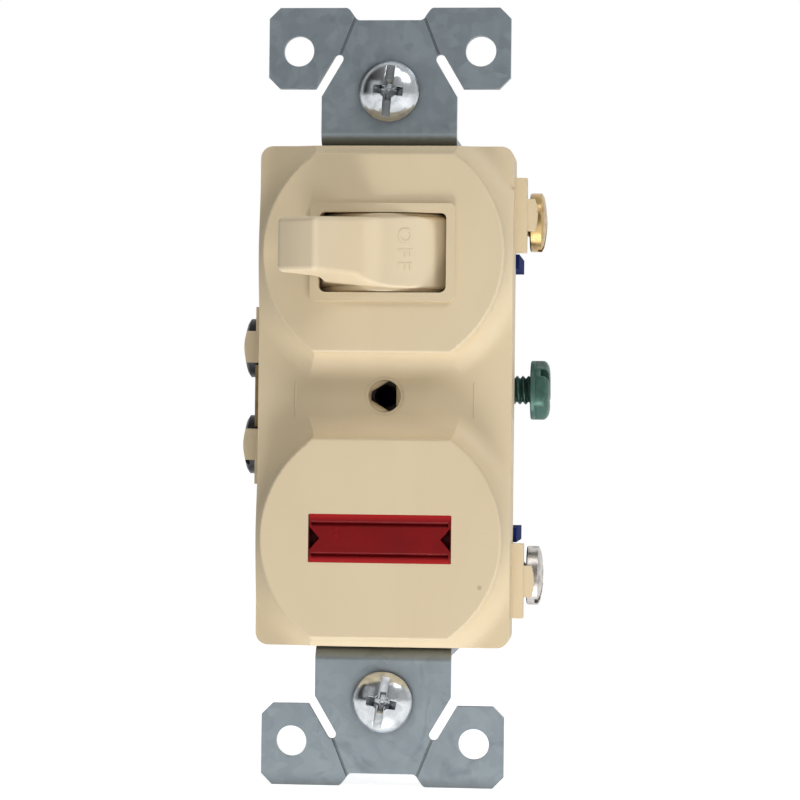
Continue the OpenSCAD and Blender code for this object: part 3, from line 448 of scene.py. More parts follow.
def soften(name, width):
    obj = frame["nodes"][name]
    weld = obj.modifiers.new("weld", "WELD")
    weld.merge_threshold = WELD_REACH * MM
    planar = obj.modifiers.new("planar", "DECIMATE")
    planar.decimate_type = "DISSOLVE"
    planar.angle_limit = PLANAR_ANGLE
    bevel = obj.modifiers.new("bevel", "BEVEL")
    bevel.width = width * MM
    bevel.segments = BEVEL_SEGMENTS
    bevel.limit_method = "ANGLE"
    bevel.angle_limit = BEVEL_ANGLE
    bevel.use_clamp_overlap = True
    obj.modifiers.new("normals", "WEIGHTED_NORMAL")
    for polygon in obj.data.polygons:
        polygon.use_smooth = True


for kept, edge_width in ROUNDED.items():
    soften(kept, edge_width)


# Tools for the pieces made here

CREASE = math.radians(32)
CUT_OVER = 1
OVERLAP = 0.2


def add_piece(name, bm, node, body, paint=None):
    """Makes an object of a mesh in millimetres, in a node's slot; it rides on the body, if one is given."""
    bmesh.ops.recalc_face_normals(bm, faces=bm.faces)
    mesh = bpy.data.meshes.new(name)
    bm.to_mesh(mesh)
    bm.free()
    mesh.transform(DEVICE)
    mesh.shade_smooth()
    mesh.set_sharp_from_angle(angle=CREASE)
    slot = finish_of(node)
    mesh.materials.append(PAINTS[paint or OWN_PAINT.get(node, slot)].material)
    obj = bpy.data.objects.new(name, mesh)
    bpy.context.scene.collection.objects.link(obj)
    normals = obj.modifiers.new("normals", "WEIGHTED_NORMAL")
    normals.keep_sharp = True
    if body:
        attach(obj, body)
    return obj


def skin(bm, rings, cap=True):
    """Joins rings of points into a tube, and closes its ends."""
    rows = [[bm.verts.new(point) for point in ring] for ring in rings]
    count = len(rows[0])
    for low, high in zip(rows, rows[1:]):
        for k in range(count):
            after = (k + 1) % count
            bm.faces.new((low[k], low[after], high[after], high[k]))
    if cap:
        bm.faces.new(rows[0])
        bm.faces.new(rows[-1])


def polar(radius, angle, z):
    return Vector((radius * math.cos(angle), radius * math.sin(angle), z))


def ring_points(radius, z, count):
    return [polar(radius, 2 * math.pi * k / count, z) for k in range(count)]


def turned(profile, count):
    """A solid of revolution about z from (radius, z) pairs, the first and last closed by flat caps."""
    bm = bmesh.new()
    skin(bm, [ring_points(radius, z, count) for radius, z in profile])
    return bm


def pin(radius, half, edge, count):
    """A round pin about z with broken edges."""
    inner, end = radius - edge, half - edge
    return turned([(inner, -half), (radius, -end), (radius, end), (inner, half)], count)


def plank(low, high, edge):
    """A block between two corners with broken edges."""
    bm = bmesh.new()
    bmesh.ops.create_cube(bm, size=1.0)
    size = Vector(high) - Vector(low)
    middle = (Vector(high) + Vector(low)) / 2
    bm.transform(Matrix.Translation(middle) @ Matrix.Diagonal((*size, 1.0)))
    bmesh.ops.bevel(bm, geom=bm.edges[:], offset=edge, segments=2, profile=0.5, affect="EDGES")
    return bm


def tapered_box(width, length, depth, top, floor_share):
    """A box hung from z = top, whose floor is smaller than its mouth, to cut with."""
    bm = bmesh.new()
    rings = []
    for z, share in ((top + CUT_OVER, 1 + (1 - floor_share) / depth), (top - depth, floor_share)):
        x, y = width / 2 * share, length / 2 * share
        rings.append([Vector((x, y, z)), Vector((-x, y, z)), Vector((-x, -y, z)), Vector((x, -y, z))])
    skin(bm, rings)
    return bm


def merge(bm, other, matrix=None):
    """Moves another mesh into bm."""
    mesh = bpy.data.meshes.new("part")
    other.to_mesh(mesh)
    other.free()
    if matrix:
        mesh.transform(matrix)
    bm.from_mesh(mesh)
    bpy.data.meshes.remove(mesh)


def carved(bm, cutters, edge):
    """Cuts solids out of bm and rounds the sharp edges that are left."""
    made = []
    for index, source in enumerate([bm] + cutters):
        bmesh.ops.recalc_face_normals(source, faces=source.faces)
        mesh = bpy.data.meshes.new("carve%d" % index)
        source.to_mesh(mesh)
        source.free()
        obj = bpy.data.objects.new("carve%d" % index, mesh)
        bpy.context.scene.collection.objects.link(obj)
        made.append(obj)
    for cutter in made[1:]:
        boolean = made[0].modifiers.new("cut", "BOOLEAN")
        boolean.operation = "DIFFERENCE"
        boolean.solver = "EXACT"
        boolean.object = cutter
    bevel = made[0].modifiers.new("bevel", "BEVEL")
    bevel.width = edge
    bevel.segments = 2
    bevel.limit_method = "ANGLE"
    bevel.angle_limit = CREASE
    ready = made[0].evaluated_get(bpy.context.evaluated_depsgraph_get())
    mesh = bpy.data.meshes.new_from_object(ready)
    result = bmesh.new()
    result.from_mesh(mesh)
    bpy.data.meshes.remove(mesh)
    for obj in made:
        data = obj.data
        bpy.data.objects.remove(obj)
        bpy.data.meshes.remove(data)
    return result


# Screws, each drawn along z with the underside of its head at z = 0

PITCH = 0.794
CREST = 1.25
SLOT_WIDTH = 1.2
SLOT_DEPTH = 1.2
SLOT_TAPER = 0.96
SLOT_EDGE = 0.1
HEAD_SIDES = 56
HEAD_FOOT = 0.6
DOME_ROWS = 8
DOME_END = 8.6


def thread(bm, radius, depth, pitch, bottom, top, count=28, steps=8):
    """A helical thread about z, run out to a chamfered point at its bottom."""
    turns = (top - bottom) / pitch
    rows = max(2, round(turns * steps))
    rings = []
    for i in range(rows + 1):
        z = bottom + (top - bottom) * i / rows
        limit = radius - depth + min(1.0, (z - bottom) / pitch) * depth
        ring = []
        for k in range(count):
            phase = ((z - bottom) / pitch - k / count) % 1.0
            flank = 1 - abs(2 * phase - 1)
            reach = min(radius - depth + depth * min(1.0, CREST * flank), limit)
            ring.append(polar(reach, 2 * math.pi * k / count, z))
        rings.append(ring)
    skin(bm, rings)


def domed_head(radius, height, rim, lip=0.15, count=HEAD_SIDES):
    """Domed screw head with its rims broken."""
    rise = height - rim
    dome = (radius * radius + rise * rise) / (2 * rise)
    profile = [(HEAD_FOOT * radius, 0.0), (radius - lip, 0.0), (radius, lip), (radius, rim - lip)]
    for i in range(1, DOME_ROWS + 1):
        reach = (radius - 0.5 * lip) * (1 - i / DOME_END)
        profile.append((reach, height - dome + math.sqrt(dome * dome - reach * reach)))
    return turned(profile, count)


def slotted(head, height, reach, depth=SLOT_DEPTH, width=SLOT_WIDTH):
    """Cuts a slot across a head."""
    return carved(head, [tapered_box(width, 3 * reach, depth, height, SLOT_TAPER)], SLOT_EDGE)


def screw_place(x, y, z, outward, turn):
    """Matrix that puts a screw drawn along z at a point, its head facing outward, turned about its axis."""
    aim = Vector(outward).to_track_quat("Z", "Y").to_matrix().to_4x4()
    return Matrix.Translation((x, y, z)) @ aim @ Matrix.Rotation(math.radians(turn), 4, "Z")


# Wiring screws and ground screw, set in the left and right sides

WIRE_HEAD = 4.1
WIRE_HEAD_HEIGHT = 2.6
WIRE_RIM = 1.82
FLAT_HEAD_HEIGHT = 2.3
FLAT_RIM = 1.75
WIRE_SHANK = 2.0
WIRE_SHANK_LENGTH = 5.6
WIRE_THREAD = 0.42
SCREW_Z = -8.5
HEX_FLAT = 3.8
HEX_STEPS = 60
HEX_PROFILE = ((0.5, 4.1), (1.85, 4.1), (2.2, 3.85), (2.48, 3.4), (WIRE_HEAD_HEIGHT, 2.8))
WASHER_PROFILE = (
    (2.4, 0.0), (WIRE_HEAD - 0.12, 0.0), (WIRE_HEAD, 0.12), (WIRE_HEAD, 0.55), (4.0, 0.7), (2.4, 0.7),
)


def side_screw(node, bm, x, y, turn):
    """Puts a threaded shank on a head and sets the screw in its side."""
    thread(bm, WIRE_SHANK, WIRE_THREAD, PITCH, -WIRE_SHANK_LENGTH, OVERLAP)
    bm.transform(screw_place(x, y, SCREW_Z, (math.copysign(1, x), 0, 0), turn))
    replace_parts(add_piece(node + "_piece", bm, node, node + "_body"), node)


def wiring_screw(node, x, y, turn, height=WIRE_HEAD_HEIGHT, rim=WIRE_RIM):
    """A binding-head wiring screw."""
    side_screw(node, slotted(domed_head(WIRE_HEAD, height, rim), height, WIRE_HEAD), x, y, turn)


def hexagon_head():
    """Hexagon head on a washer face, its corners rounded off by the dome."""
    bm = turned(WASHER_PROFILE, HEAD_SIDES)
    rings = []
    for z, reach in HEX_PROFILE:
        ring = []
        for k in range(HEX_STEPS):
            angle = 2 * math.pi * k / HEX_STEPS
            sector = (angle + math.pi / 6) % (math.pi / 3) - math.pi / 6
            ring.append(polar(min(HEX_FLAT / math.cos(sector), reach), angle, z))
        rings.append(ring)
    hexagon = bmesh.new()
    skin(hexagon, rings)
    merge(bm, slotted(hexagon, WIRE_HEAD_HEIGHT, WIRE_HEAD))
    return bm


# Mounting screws

MOUNT_Y = 41.67
MOUNT_HEAD = 4.15
MOUNT_HEAD_HEIGHT = 2.4
MOUNT_RIM = 0.84
MOUNT_EDGE = 0.09
MOUNT_SLOT_LENGTH = 12
MOUNT_SLOT_DEPTH = 1.1
CROSS_LONG = 4.6
CROSS_WIDE = 1.25
CROSS_DEPTH = 1.75
CROSS_TAPER = 0.45
CROSS_POINT = ((0.35, -1.9), (1.5, -0.4), (1.6, CUT_OVER))
MOUNT_SHANK = 1.75
MOUNT_THREAD = 0.4
MOUNT_LENGTH = 19.0
MOUNT_WAIST = 1.5
WAIST_LENGTH = 2.5
STRAP_FRONT = 1.2


def mounting_screw(node, y, turn):
    """Captive combination-head screw: slot, tapered cross, waist and thread."""
    height = MOUNT_HEAD_HEIGHT
    cutters = [tapered_box(SLOT_WIDTH, MOUNT_SLOT_LENGTH, MOUNT_SLOT_DEPTH, height, SLOT_TAPER)]
    for width, length in ((CROSS_LONG, CROSS_WIDE), (CROSS_WIDE, CROSS_LONG)):
        cutters.append(tapered_box(width, length, CROSS_DEPTH, height, CROSS_TAPER))
    cutters.append(turned([(radius, height + z) for radius, z in CROSS_POINT], 4))
    bm = carved(domed_head(MOUNT_HEAD, height, MOUNT_RIM), cutters, MOUNT_EDGE)
    waist = [(MOUNT_WAIST - 0.1, -WAIST_LENGTH - 0.4), (MOUNT_WAIST, -WAIST_LENGTH), (MOUNT_WAIST, 0.3)]
    merge(bm, turned(waist, 32))
    thread(bm, MOUNT_SHANK, MOUNT_THREAD, PITCH, -MOUNT_LENGTH, -WAIST_LENGTH)
    bm.transform(screw_place(0, y, STRAP_FRONT, (0, 0, 1), turn))
    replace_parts(add_piece(node + "_piece", bm, node, node + "_body"), node)


# Housing screws, from behind

BODY_BACK = -26.0
HOUSING_SCREWS = [(x, y) for x in (-12.0, 12.0) for y in (-30.6, 30.6)]
HOUSING_HEAD = 2.2
HOUSING_HEAD_HEIGHT = 1.4
HOUSING_RIM = 0.7
HOUSING_LIP = 0.1
HOUSING_SLOT_WIDTH = 0.8
HOUSING_SLOT_DEPTH = 0.7
HOUSING_SHANK = 1.2
HOUSING_THREAD = 0.22
HOUSING_PITCH = 0.9
HOUSING_LENGTH = 26.0
HOUSING_TURN = 35


def housing_screws(node):
    """Four pan-head screws, each turned a little further than the one before."""
    bm = bmesh.new()
    for index, (x, y) in enumerate(HOUSING_SCREWS):
        head = domed_head(HOUSING_HEAD, HOUSING_HEAD_HEIGHT, HOUSING_RIM, HOUSING_LIP, 40)
        one = slotted(head, HOUSING_HEAD_HEIGHT, HOUSING_HEAD, HOUSING_SLOT_DEPTH, HOUSING_SLOT_WIDTH)
        thread(one, HOUSING_SHANK, HOUSING_THREAD, HOUSING_PITCH, -HOUSING_LENGTH, OVERLAP, 20, 6)
        merge(bm, one, screw_place(x, y, BODY_BACK, (0, 0, -1), HOUSING_TURN * index))
    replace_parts(add_piece("housing_screws_piece", bm, node, "housing"), node)


LEFT_UNDERSIDE = 18.2
LEFT_SCREW_Y = 6.75
RIGHT_UNDERSIDE = 19.1
RIGHT_SCREW_Y = 24.55
GROUND_UNDERSIDE = 19.4
GROUND_Y = 1.2
wiring_screw("line_screw_upper", -LEFT_UNDERSIDE, LEFT_SCREW_Y, 20)
wiring_screw("line_screw_lower", -LEFT_UNDERSIDE, -LEFT_SCREW_Y, -35)
wiring_screw("load_screw", RIGHT_UNDERSIDE, RIGHT_SCREW_Y, 78, FLAT_HEAD_HEIGHT, FLAT_RIM)
wiring_screw("neutral_screw", RIGHT_UNDERSIDE, -RIGHT_SCREW_Y, 60, FLAT_HEAD_HEIGHT, FLAT_RIM)
side_screw("ground_screw", hexagon_head(), GROUND_UNDERSIDE, GROUND_Y, -37)
mounting_screw("mounting_screw_top", MOUNT_Y, -6)
mounting_screw("mounting_screw_bottom", -MOUNT_Y, -10)
housing_screws("housing_screws")


# Toggle, drawn upright about its pivot (u to the right, v up the wall, w along the lever) and then tilted

PIVOT_Z = -3.0
TILT = math.radians(22.5)
DRUM = 12.4
DRUM_HALF = 4.85
DRUM_ROUND = 0.45
DRUM_END = math.radians(66)
DRUM_SINK = 1.0
LEVER = 26.5
LEVER_TOP = 3.75
LEVER_BOTTOM = 3.4
LEVER_ROUND = 0.75
TIP_THICK = 3.0
TIP_CROWN = 0.3
TIP_CORNER = 0.8
TIP_DROP = 0.15
TIP_TURN = math.radians(88)
ROOT_THICK = 3.2
BLEND = 3.4
FLARE_ABOVE = 2.0
FLARE_BELOW = 1.6
TIP_STEPS = 6
CORNER_STEPS = 6
FLANK_STEPS = 12
BLEND_STEPS = 12
DRUM_STEPS = 22
ROUND_STEPS = 5
SKIRT = 11.6
SKIRT_HALF = 5.3
SKIRT_EDGE = 0.2
SKIRT_THICK = 1.4
SKIRT_END = math.radians(68)
SKIRT_STEPS = 48
TOGGLE_PLACE = Matrix.Translation((0, FACE_Y, PIVOT_Z)) @ Matrix.Rotation(-TILT, 4, "Y")


def arc(centre, radius, start, end, count, way=1):
    """Points (u, w) on an arc with their outward normals, at angles from the w axis towards u."""
    spots = []
    for i in range(count + 1):
        angle = start + (end - start) * i / count
        out = Vector((math.sin(angle), math.cos(angle)))
        spots.append((Vector(centre) + radius * out, way * out))
    return spots


def smooth(share):
    """A share held between 0 and 1 and eased at both ends."""
    share = max(0.0, min(1.0, share))
    return share * share * (3 - 2 * share)


def lever_outline():
    """Right half of the toggle's outline, from its tip round to the drum's end, and two heights on it."""
    spots = []
    for i in range(TIP_STEPS):
        u = (TIP_THICK - TIP_CORNER) * i / TIP_STEPS
        out = Vector((2 * TIP_CROWN * u / TIP_THICK ** 2, 1)).normalized()
        spots.append((Vector((u, LEVER - TIP_CROWN * (u / TIP_THICK) ** 2)), out))
    tip_corner = (TIP_THICK - TIP_CORNER, LEVER - TIP_CORNER - TIP_DROP)
    spots += arc(tip_corner, TIP_CORNER, 0, TIP_TURN, CORNER_STEPS)
    blend_u = ROOT_THICK + BLEND
    blend_w = math.sqrt((DRUM + BLEND) ** 2 - blend_u ** 2)
    flank_top = spots[-1][0]
    flank_end = Vector((ROOT_THICK, blend_w))
    along = (flank_end - flank_top).normalized()
    for i in range(1, FLANK_STEPS):
        spots.append((flank_top.lerp(flank_end, i / FLANK_STEPS), Vector((-along[1], along[0]))))
    to_drum = math.atan2(blend_u, blend_w)
    spots += arc((blend_u, blend_w), BLEND, math.radians(270), to_drum + math.pi, BLEND_STEPS, -1)
    spots += arc((0, 0), DRUM, to_drum, DRUM_END, DRUM_STEPS)[1:]
    outward = Vector((math.sin(DRUM_END), math.cos(DRUM_END)))
    drum_corner = (DRUM - DRUM_ROUND) * outward
    spots += arc(drum_corner, DRUM_ROUND, DRUM_END, DRUM_END + math.pi / 2, CORNER_STEPS)[1:]
    point, out = spots[-1]
    spots.append((point - DRUM_SINK * outward, out))
    return spots, blend_w, DRUM * math.cos(to_drum)


def toggle_body():
    """Lever and drum in one skin: straight sides above, a flared root below, rounded edges."""
    spots, blend_w, drum_w = lever_outline()
    flare_from, flare_to = blend_w + FLARE_ABOVE, drum_w - FLARE_BELOW
    steps = [i / ROUND_STEPS for i in range(ROUND_STEPS + 1)]
    bm = bmesh.new()
    sides = {}
    for mirror in (-1, 1):
        rows = []
        for point, out in spots:
            share = smooth((flare_from - point[1]) / (flare_from - flare_to))
            drop = max(0.0, min(1.0, (LEVER - point[1]) / (LEVER - flare_to)))
            top = LEVER_TOP + (DRUM_HALF - LEVER_TOP) * drop
            bottom = LEVER_BOTTOM + (DRUM_HALF - LEVER_BOTTOM) * share
            edge = LEVER_ROUND + (DRUM_ROUND - LEVER_ROUND) * share
            row = []
            for way, half in ((-1, bottom), (1, top)):
                for step in steps[::way]:
                    bend = step * math.pi / 2
                    sunk = point - out * edge * (1 - math.cos(bend))
                    v = way * (half - edge + edge * math.sin(bend))
                    row.append(bm.verts.new((mirror * sunk[0], v, sunk[1])))
            rows.append(row)
        for low, high in zip(rows, rows[1:]):
            for k in range(len(low) - 1):
                bm.faces.new((low[k], low[k + 1], high[k + 1], high[k]))
        sides[mirror] = rows
    left, right = sides[-1], sides[1]
    for edge in (0, -1):
        for i in range(len(left) - 1):
            bm.faces.new((left[i][edge], left[i + 1][edge], right[i + 1][edge], right[i][edge]))
    bm.faces.new(left[-1] + right[-1][::-1])
    bmesh.ops.remove_doubles(bm, verts=bm.verts, dist=0.001)
    return bm


def skirt_body():
    """Wider shell under the drum, which closes the opening at both ends of the throw."""
    outline = (
        (SKIRT - SKIRT_EDGE, SKIRT_HALF),
        (SKIRT, SKIRT_HALF - SKIRT_EDGE),
        (SKIRT, SKIRT_EDGE - SKIRT_HALF),
        (SKIRT - SKIRT_EDGE, -SKIRT_HALF),
        (SKIRT - SKIRT_THICK, -SKIRT_HALF),
        (SKIRT - SKIRT_THICK, SKIRT_HALF),
    )
    rings = []
    for i in range(SKIRT_STEPS + 1):
        angle = -SKIRT_END + 2 * SKIRT_END * i / SKIRT_STEPS
        u, w = math.sin(angle), math.cos(angle)
        rings.append([Vector((radius * u, half, radius * w)) for radius, half in outline])
    bm = bmesh.new()
    skin(bm, rings)
    return bm


HUB = 4.0
HUB_HALF = 4.9
HUB_EDGE = 0.4
TRUNNION = 2.0
TRUNNION_HALF = 6.8
TRUNNION_EDGE = 0.2
WEB_U = 3.0
WEB_V = 4.2
WEB_W = 11
TAIL = 15.0
TAIL_U = 1.5
TAIL_V = 2.5
WORKS_EDGE = 0.3
PEG_PROFILE = ((1.1, -16.2), (1.2, -16.0), (1.2, -14.8))
NOSE = 0.9
NOSE_HALF = 1.2
NOSE_EDGE = 0.1
NOSE_U = 2.62
NOSE_W = -14.0


def toggle_works():
    """Hub, trunnions, web, tail with its spring peg, and the nose that moves the contact arm."""
    bm = bmesh.new()
    along_v = Matrix.Rotation(-math.pi / 2, 4, "X")
    merge(bm, pin(HUB, HUB_HALF, HUB_EDGE, 40), along_v)
    merge(bm, pin(TRUNNION, TRUNNION_HALF, TRUNNION_EDGE, 32), along_v)
    merge(bm, plank((-WEB_U, -WEB_V, 0), (WEB_U, WEB_V, WEB_W), WORKS_EDGE))
    merge(bm, plank((-TAIL_U, -TAIL_V, -TAIL), (TAIL_U, TAIL_V, 0), WORKS_EDGE))
    merge(bm, turned(PEG_PROFILE, 24))
    merge(bm, pin(NOSE, NOSE_HALF, NOSE_EDGE, 24), Matrix.Translation((NOSE_U, 0, NOSE_W)) @ along_v)
    merge(bm, plank((0, -NOSE_HALF, NOSE_W - NOSE), (NOSE_U, NOSE_HALF, NOSE_W + NOSE), NOSE_EDGE))
    return bm


LETTER_ANGLE = math.radians(36.5)
LETTER_SIZE = 2.6
LETTER_HEIGHT = 0.05
LETTER_EDGE = 0.025
LETTER_SPACE = 1.45
LETTER_RISE = 0.4


def lettering(text, middle_angle):
    """Raised letters on the drum, which read down the wall."""
    curve = bpy.data.curves.new("letters", "FONT")
    curve.body = text
    curve.size = LETTER_SIZE
    curve.align_x = "CENTER"
    curve.align_y = "CENTER"
    curve.space_character = LETTER_SPACE
    curve.extrude = LETTER_HEIGHT
    curve.bevel_depth = LETTER_EDGE
    curve.bevel_resolution = 1
    obj = bpy.data.objects.new("letters", curve)
    bpy.context.scene.collection.objects.link(obj)
    bpy.context.view_layer.update()
    mesh = bpy.data.meshes.new_from_object(obj.evaluated_get(bpy.context.evaluated_depsgraph_get()))
    bpy.data.objects.remove(obj)
    bpy.data.curves.remove(curve)
    bm = bmesh.new()
    bm.from_mesh(mesh)
    bpy.data.meshes.remove(mesh)
    for vert in bm.verts:
        angle = middle_angle + vert.co[1] / DRUM
        radius = DRUM + vert.co[2]
        vert.co = (radius * math.sin(angle), LETTER_RISE - vert.co[0], radius * math.cos(angle))
    return bm


def make_toggle():
    bm = toggle_body()
    merge(bm, skirt_body())
    merge(bm, toggle_works())
    bm.transform(TOGGLE_PLACE)
    piece = add_piece("toggle_piece", bm, "toggle_lever", "toggle", "ivory_toggle")
    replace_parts(piece, "toggle_lever")
    bm = lettering("OFF", LETTER_ANGLE)
    merge(bm, lettering("ON", -LETTER_ANGLE))
    bm.transform(TOGGLE_PLACE)
    add_piece("toggle_letters", bm, "toggle_lever", "toggle", "ivory_toggle")


make_toggle()


# Pilot lens: long grooves inside the rims, a pit at each end, hollow behind

LENS_HALF_X = 9.63
LENS_HALF_Y = 3.21
LENS_BACK = 4.9
LENS_FRONT = 8.0
LENS_WALL = 1.1
LENS_FACE = 1.4
LENS_EDGE = 0.12
LENS_CHAMFER = 0.3
CHAMFER_SPREAD = 0.6
CUT_EDGE = 0.08
HOLLOW_EDGE = 0.1
GROOVE = 0.34
GROOVE_END = 0.4
GROOVES_Y = (-2.25, 1.95)
PIT_DEPTH = 1.2
PIT_REACH = 1.5
PIT_HALF = 1.55
PIT_TAPER = 0.2
PIT_OVER = 0.1


def groove(y):
    """A V groove along x in the lens front, to cut with."""
    half_length = LENS_HALF_X - GROOVE_END
    rings = []
    for x in (-half_length, half_length):
        rings.append([
            Vector((x, y - 2 * GROOVE, LENS_FRONT + GROOVE)),
            Vector((x, y + 2 * GROOVE, LENS_FRONT + GROOVE)),
            Vector((x, y, LENS_FRONT - GROOVE)),
        ])
    bm = bmesh.new()
    skin(bm, rings)
    return bm


def end_pit(way):
    """A three-sided pit at one end of the lens, to cut with."""
    rings = []
    for z, shrink in ((LENS_FRONT - PIT_DEPTH, PIT_TAPER), (LENS_FRONT + PIT_OVER, 0.0)):
        edge = way * (LENS_HALF_X - LENS_EDGE)
        tip = way * (LENS_HALF_X - PIT_REACH + shrink)
        half = PIT_HALF - shrink
        rings.append([Vector((edge, -half, z)), Vector((edge, half, z)), Vector((tip, 0, z))])
    bm = bmesh.new()
    skin(bm, rings)
    return bm


def make_lens(node):
    x, y = LENS_HALF_X, LENS_HALF_Y
    front = plank((-x, -y, LENS_BACK), (x, y, LENS_FRONT), LENS_EDGE)
    cutters = [groove(groove_y) for groove_y in GROOVES_Y]
    cutters += [end_pit(way) for way in (-1, 1)]
    x, y = LENS_HALF_X - LENS_WALL, LENS_HALF_Y - LENS_WALL
    cutters.append(plank((-x, -y, LENS_BACK - CUT_OVER), (x, y, LENS_FRONT - LENS_FACE), HOLLOW_EDGE))
    bm = carved(front, cutters, CUT_EDGE)
    # The long edges spread outward towards the front
    for vert in bm.verts:
        rise = vert.co[2] - (LENS_FRONT - LENS_CHAMFER)
        if rise > 0 and abs(vert.co[1]) > LENS_HALF_Y - LENS_CHAMFER:
            vert.co[1] += math.copysign(CHAMFER_SPREAD * rise, vert.co[1])
    bm.transform(Matrix.Translation((0, LENS_Y, 0)))
    piece = add_piece("lens_piece", bm, node, "housing")
    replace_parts(piece, node)


make_lens("pilot_lens")


# Tapped bush behind the plate-screw hole, and the hole's three-cornered lips

SAME_POINT = 0.0005
BUSH = 3.0
BUSH_BACK = -8.0
BUSH_EDGE = 0.2
BUSH_SIDES = 40
BUSH_ROWS = 80
TAP = 1.35
TAP_DEPTH = 0.3
MOUTH = 0.5
MOUTH_FLARE = 0.6


def make_bush(node):
    outer = (
        (BUSH - BUSH_EDGE, 0.0), (BUSH, -BUSH_EDGE),
        (BUSH, BUSH_BACK + BUSH_EDGE), (BUSH - BUSH_EDGE, BUSH_BACK),
    )
    rings = [ring_points(radius, z, BUSH_SIDES) for radius, z in outer]
    for i in range(BUSH_ROWS + 1):
        z = BUSH_BACK - BUSH_BACK * i / BUSH_ROWS
        mouth = max(0.0, MOUTH - min(z - BUSH_BACK, -z))
        ring = []
        for k in range(BUSH_SIDES):
            phase = ((z - BUSH_BACK) / PITCH - k / BUSH_SIDES) % 1.0
            reach = TAP + TAP_DEPTH * abs(2 * phase - 1) + MOUTH_FLARE * mouth
            ring.append(polar(reach, 2 * math.pi * k / BUSH_SIDES, z))
        rings.append(ring)
    rings.append(rings[0])
    bm = bmesh.new()
    skin(bm, rings, cap=False)
    bmesh.ops.remove_doubles(bm, verts=bm.verts, dist=SAME_POINT)
    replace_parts(add_piece("bush_piece", bm, node, "housing"), node)


make_bush("plate_screw_bushing")

HOLE = 2.14
HOLE_TOP = 2.95
HOLE_SIDES = 72
LIP_DROP = 1.2
LIP_BAND = 0.1
LIP_FLOOR = 0.05
LIP_LEAST = 0.05
LIP_FACING = 0.2
LIP_FLATS = ((0.0, 1.5), (122.0, 1.62), (238.0, 1.52))


def make_hole_lips():
    """Three flats that slope into the plate-screw hole and leave it three-cornered."""
    reaches = []
    for k in range(HOLE_SIDES):
        reach = HOLE - LIP_LEAST
        for toward, away in LIP_FLATS:
            facing = math.cos(2 * math.pi * k / HOLE_SIDES - math.radians(toward))
            if facing > LIP_FACING:
                reach = min(reach, away / facing)
        reaches.append(reach)
    rings = [ring_points(HOLE, z, HOLE_SIDES) for z in (HOLE_TOP, HOLE_TOP - LIP_BAND, LIP_FLOOR)]
    for z in (LIP_FLOOR, HOLE_TOP - LIP_DROP):
        rings.append([polar(reach, 2 * math.pi * k / HOLE_SIDES, z) for k, reach in enumerate(reaches)])
    rings.append(rings[0])
    bm = bmesh.new()
    skin(bm, rings, cap=False)
    bmesh.ops.remove_doubles(bm, verts=bm.verts, dist=SAME_POINT)
    add_piece("hole_lips", bm, "front_cover", "housing")


make_hole_lips()


# Coil springs, each wound along a curve between the two bodies that it presses on

COIL_STEPS = 28
COIL_SIDES = 10


def along_curve(points, share):
    """A point on the cubic curve of four control points."""
    rest = 1 - share
    weights = (rest ** 3, 3 * share * rest ** 2, 3 * share ** 2 * rest, share ** 3)
    return sum((weight * point for weight, point in zip(weights, points)), Vector((0, 0, 0)))


def coil(points, turns, radius, wire, y):
    """A round wire wound about a curve in the x-z plane."""
    steps = round(turns * COIL_STEPS)
    middles = [along_curve(points, i / steps) for i in range(steps + 1)]
    spots = []
    outs = []
    for i, middle in enumerate(middles):
        way = (middles[min(i + 1, steps)] - middles[max(i - 1, 0)]).normalized()
        side = Vector((way[2], 0, -way[0]))
        angle = 2 * math.pi * turns * i / steps
        out = side * math.cos(angle) + Vector((0, 1, 0)) * math.sin(angle)
        outs.append(out)
        spots.append(middle + radius * out + Vector((0, y, 0)))
    rings = []
    for i, spot in enumerate(spots):
        way = (spots[min(i + 1, steps)] - spots[max(i - 1, 0)]).normalized()
        up = way.cross(outs[i]).normalized()
        ring = []
        for k in range(COIL_SIDES):
            angle = 2 * math.pi * k / COIL_SIDES
            ring.append(spot + wire * (outs[i] * math.cos(angle) + up * math.sin(angle)))
        rings.append(ring)
    bm = bmesh.new()
    skin(bm, rings)
    return bm


FLOOR_Z = BODY_BACK + 2.0
SPRING_LIFT = 0.4
SPRING_BOW = 3
SPRING_TURNS = 5
SPRING = 1.75
SPRING_WIRE = 0.3


def make_toggle_spring(node):
    way = Vector((-math.sin(TILT), 0, math.cos(TILT)))
    start = Vector((0, 0, FLOOR_Z + SPRING_LIFT))
    end = Vector((0, 0, PIVOT_Z)) - (TAIL + SPRING_LIFT) * way
    points = [start, start + Vector((0, 0, SPRING_BOW)), end - SPRING_BOW * way, end]
    bm = coil(points, SPRING_TURNS, SPRING, SPRING_WIRE, FACE_Y)
    piece = add_piece("toggle_spring_piece", bm, node, None)
    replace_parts(piece, node)
    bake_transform(piece)


make_toggle_spring("toggle_spring")

ARM_SIDE = 10.22
WALL_SIDE = 12.3
CONTACT_SPRING_Y = 20.1
CONTACT_SPRING_Z = -15.0
CONTACT_TURNS = 2.5
CONTACT_SPRING = 1.2
CONTACT_WIRE = 0.2


def make_contact_spring(node):
    start = Vector((ARM_SIDE, 0, CONTACT_SPRING_Z))
    end = Vector((WALL_SIDE, 0, CONTACT_SPRING_Z))
    points = [start.lerp(end, share) for share in (0, 1 / 3, 2 / 3, 1)]
    bm = coil(points, CONTACT_TURNS, CONTACT_SPRING, CONTACT_WIRE, CONTACT_SPRING_Y)
    piece = add_piece("contact_spring_piece", bm, node, None)
    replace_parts(piece, node)
    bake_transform(piece)


make_contact_spring("contact_spring")


# Mould marks

MARK_X = 12.2
MARK_HALF = 0.09
MARK_Y = (-2.9, 1.9)
MARK_Z = (3.0, 3.26)
MARK_EDGE = 0.05


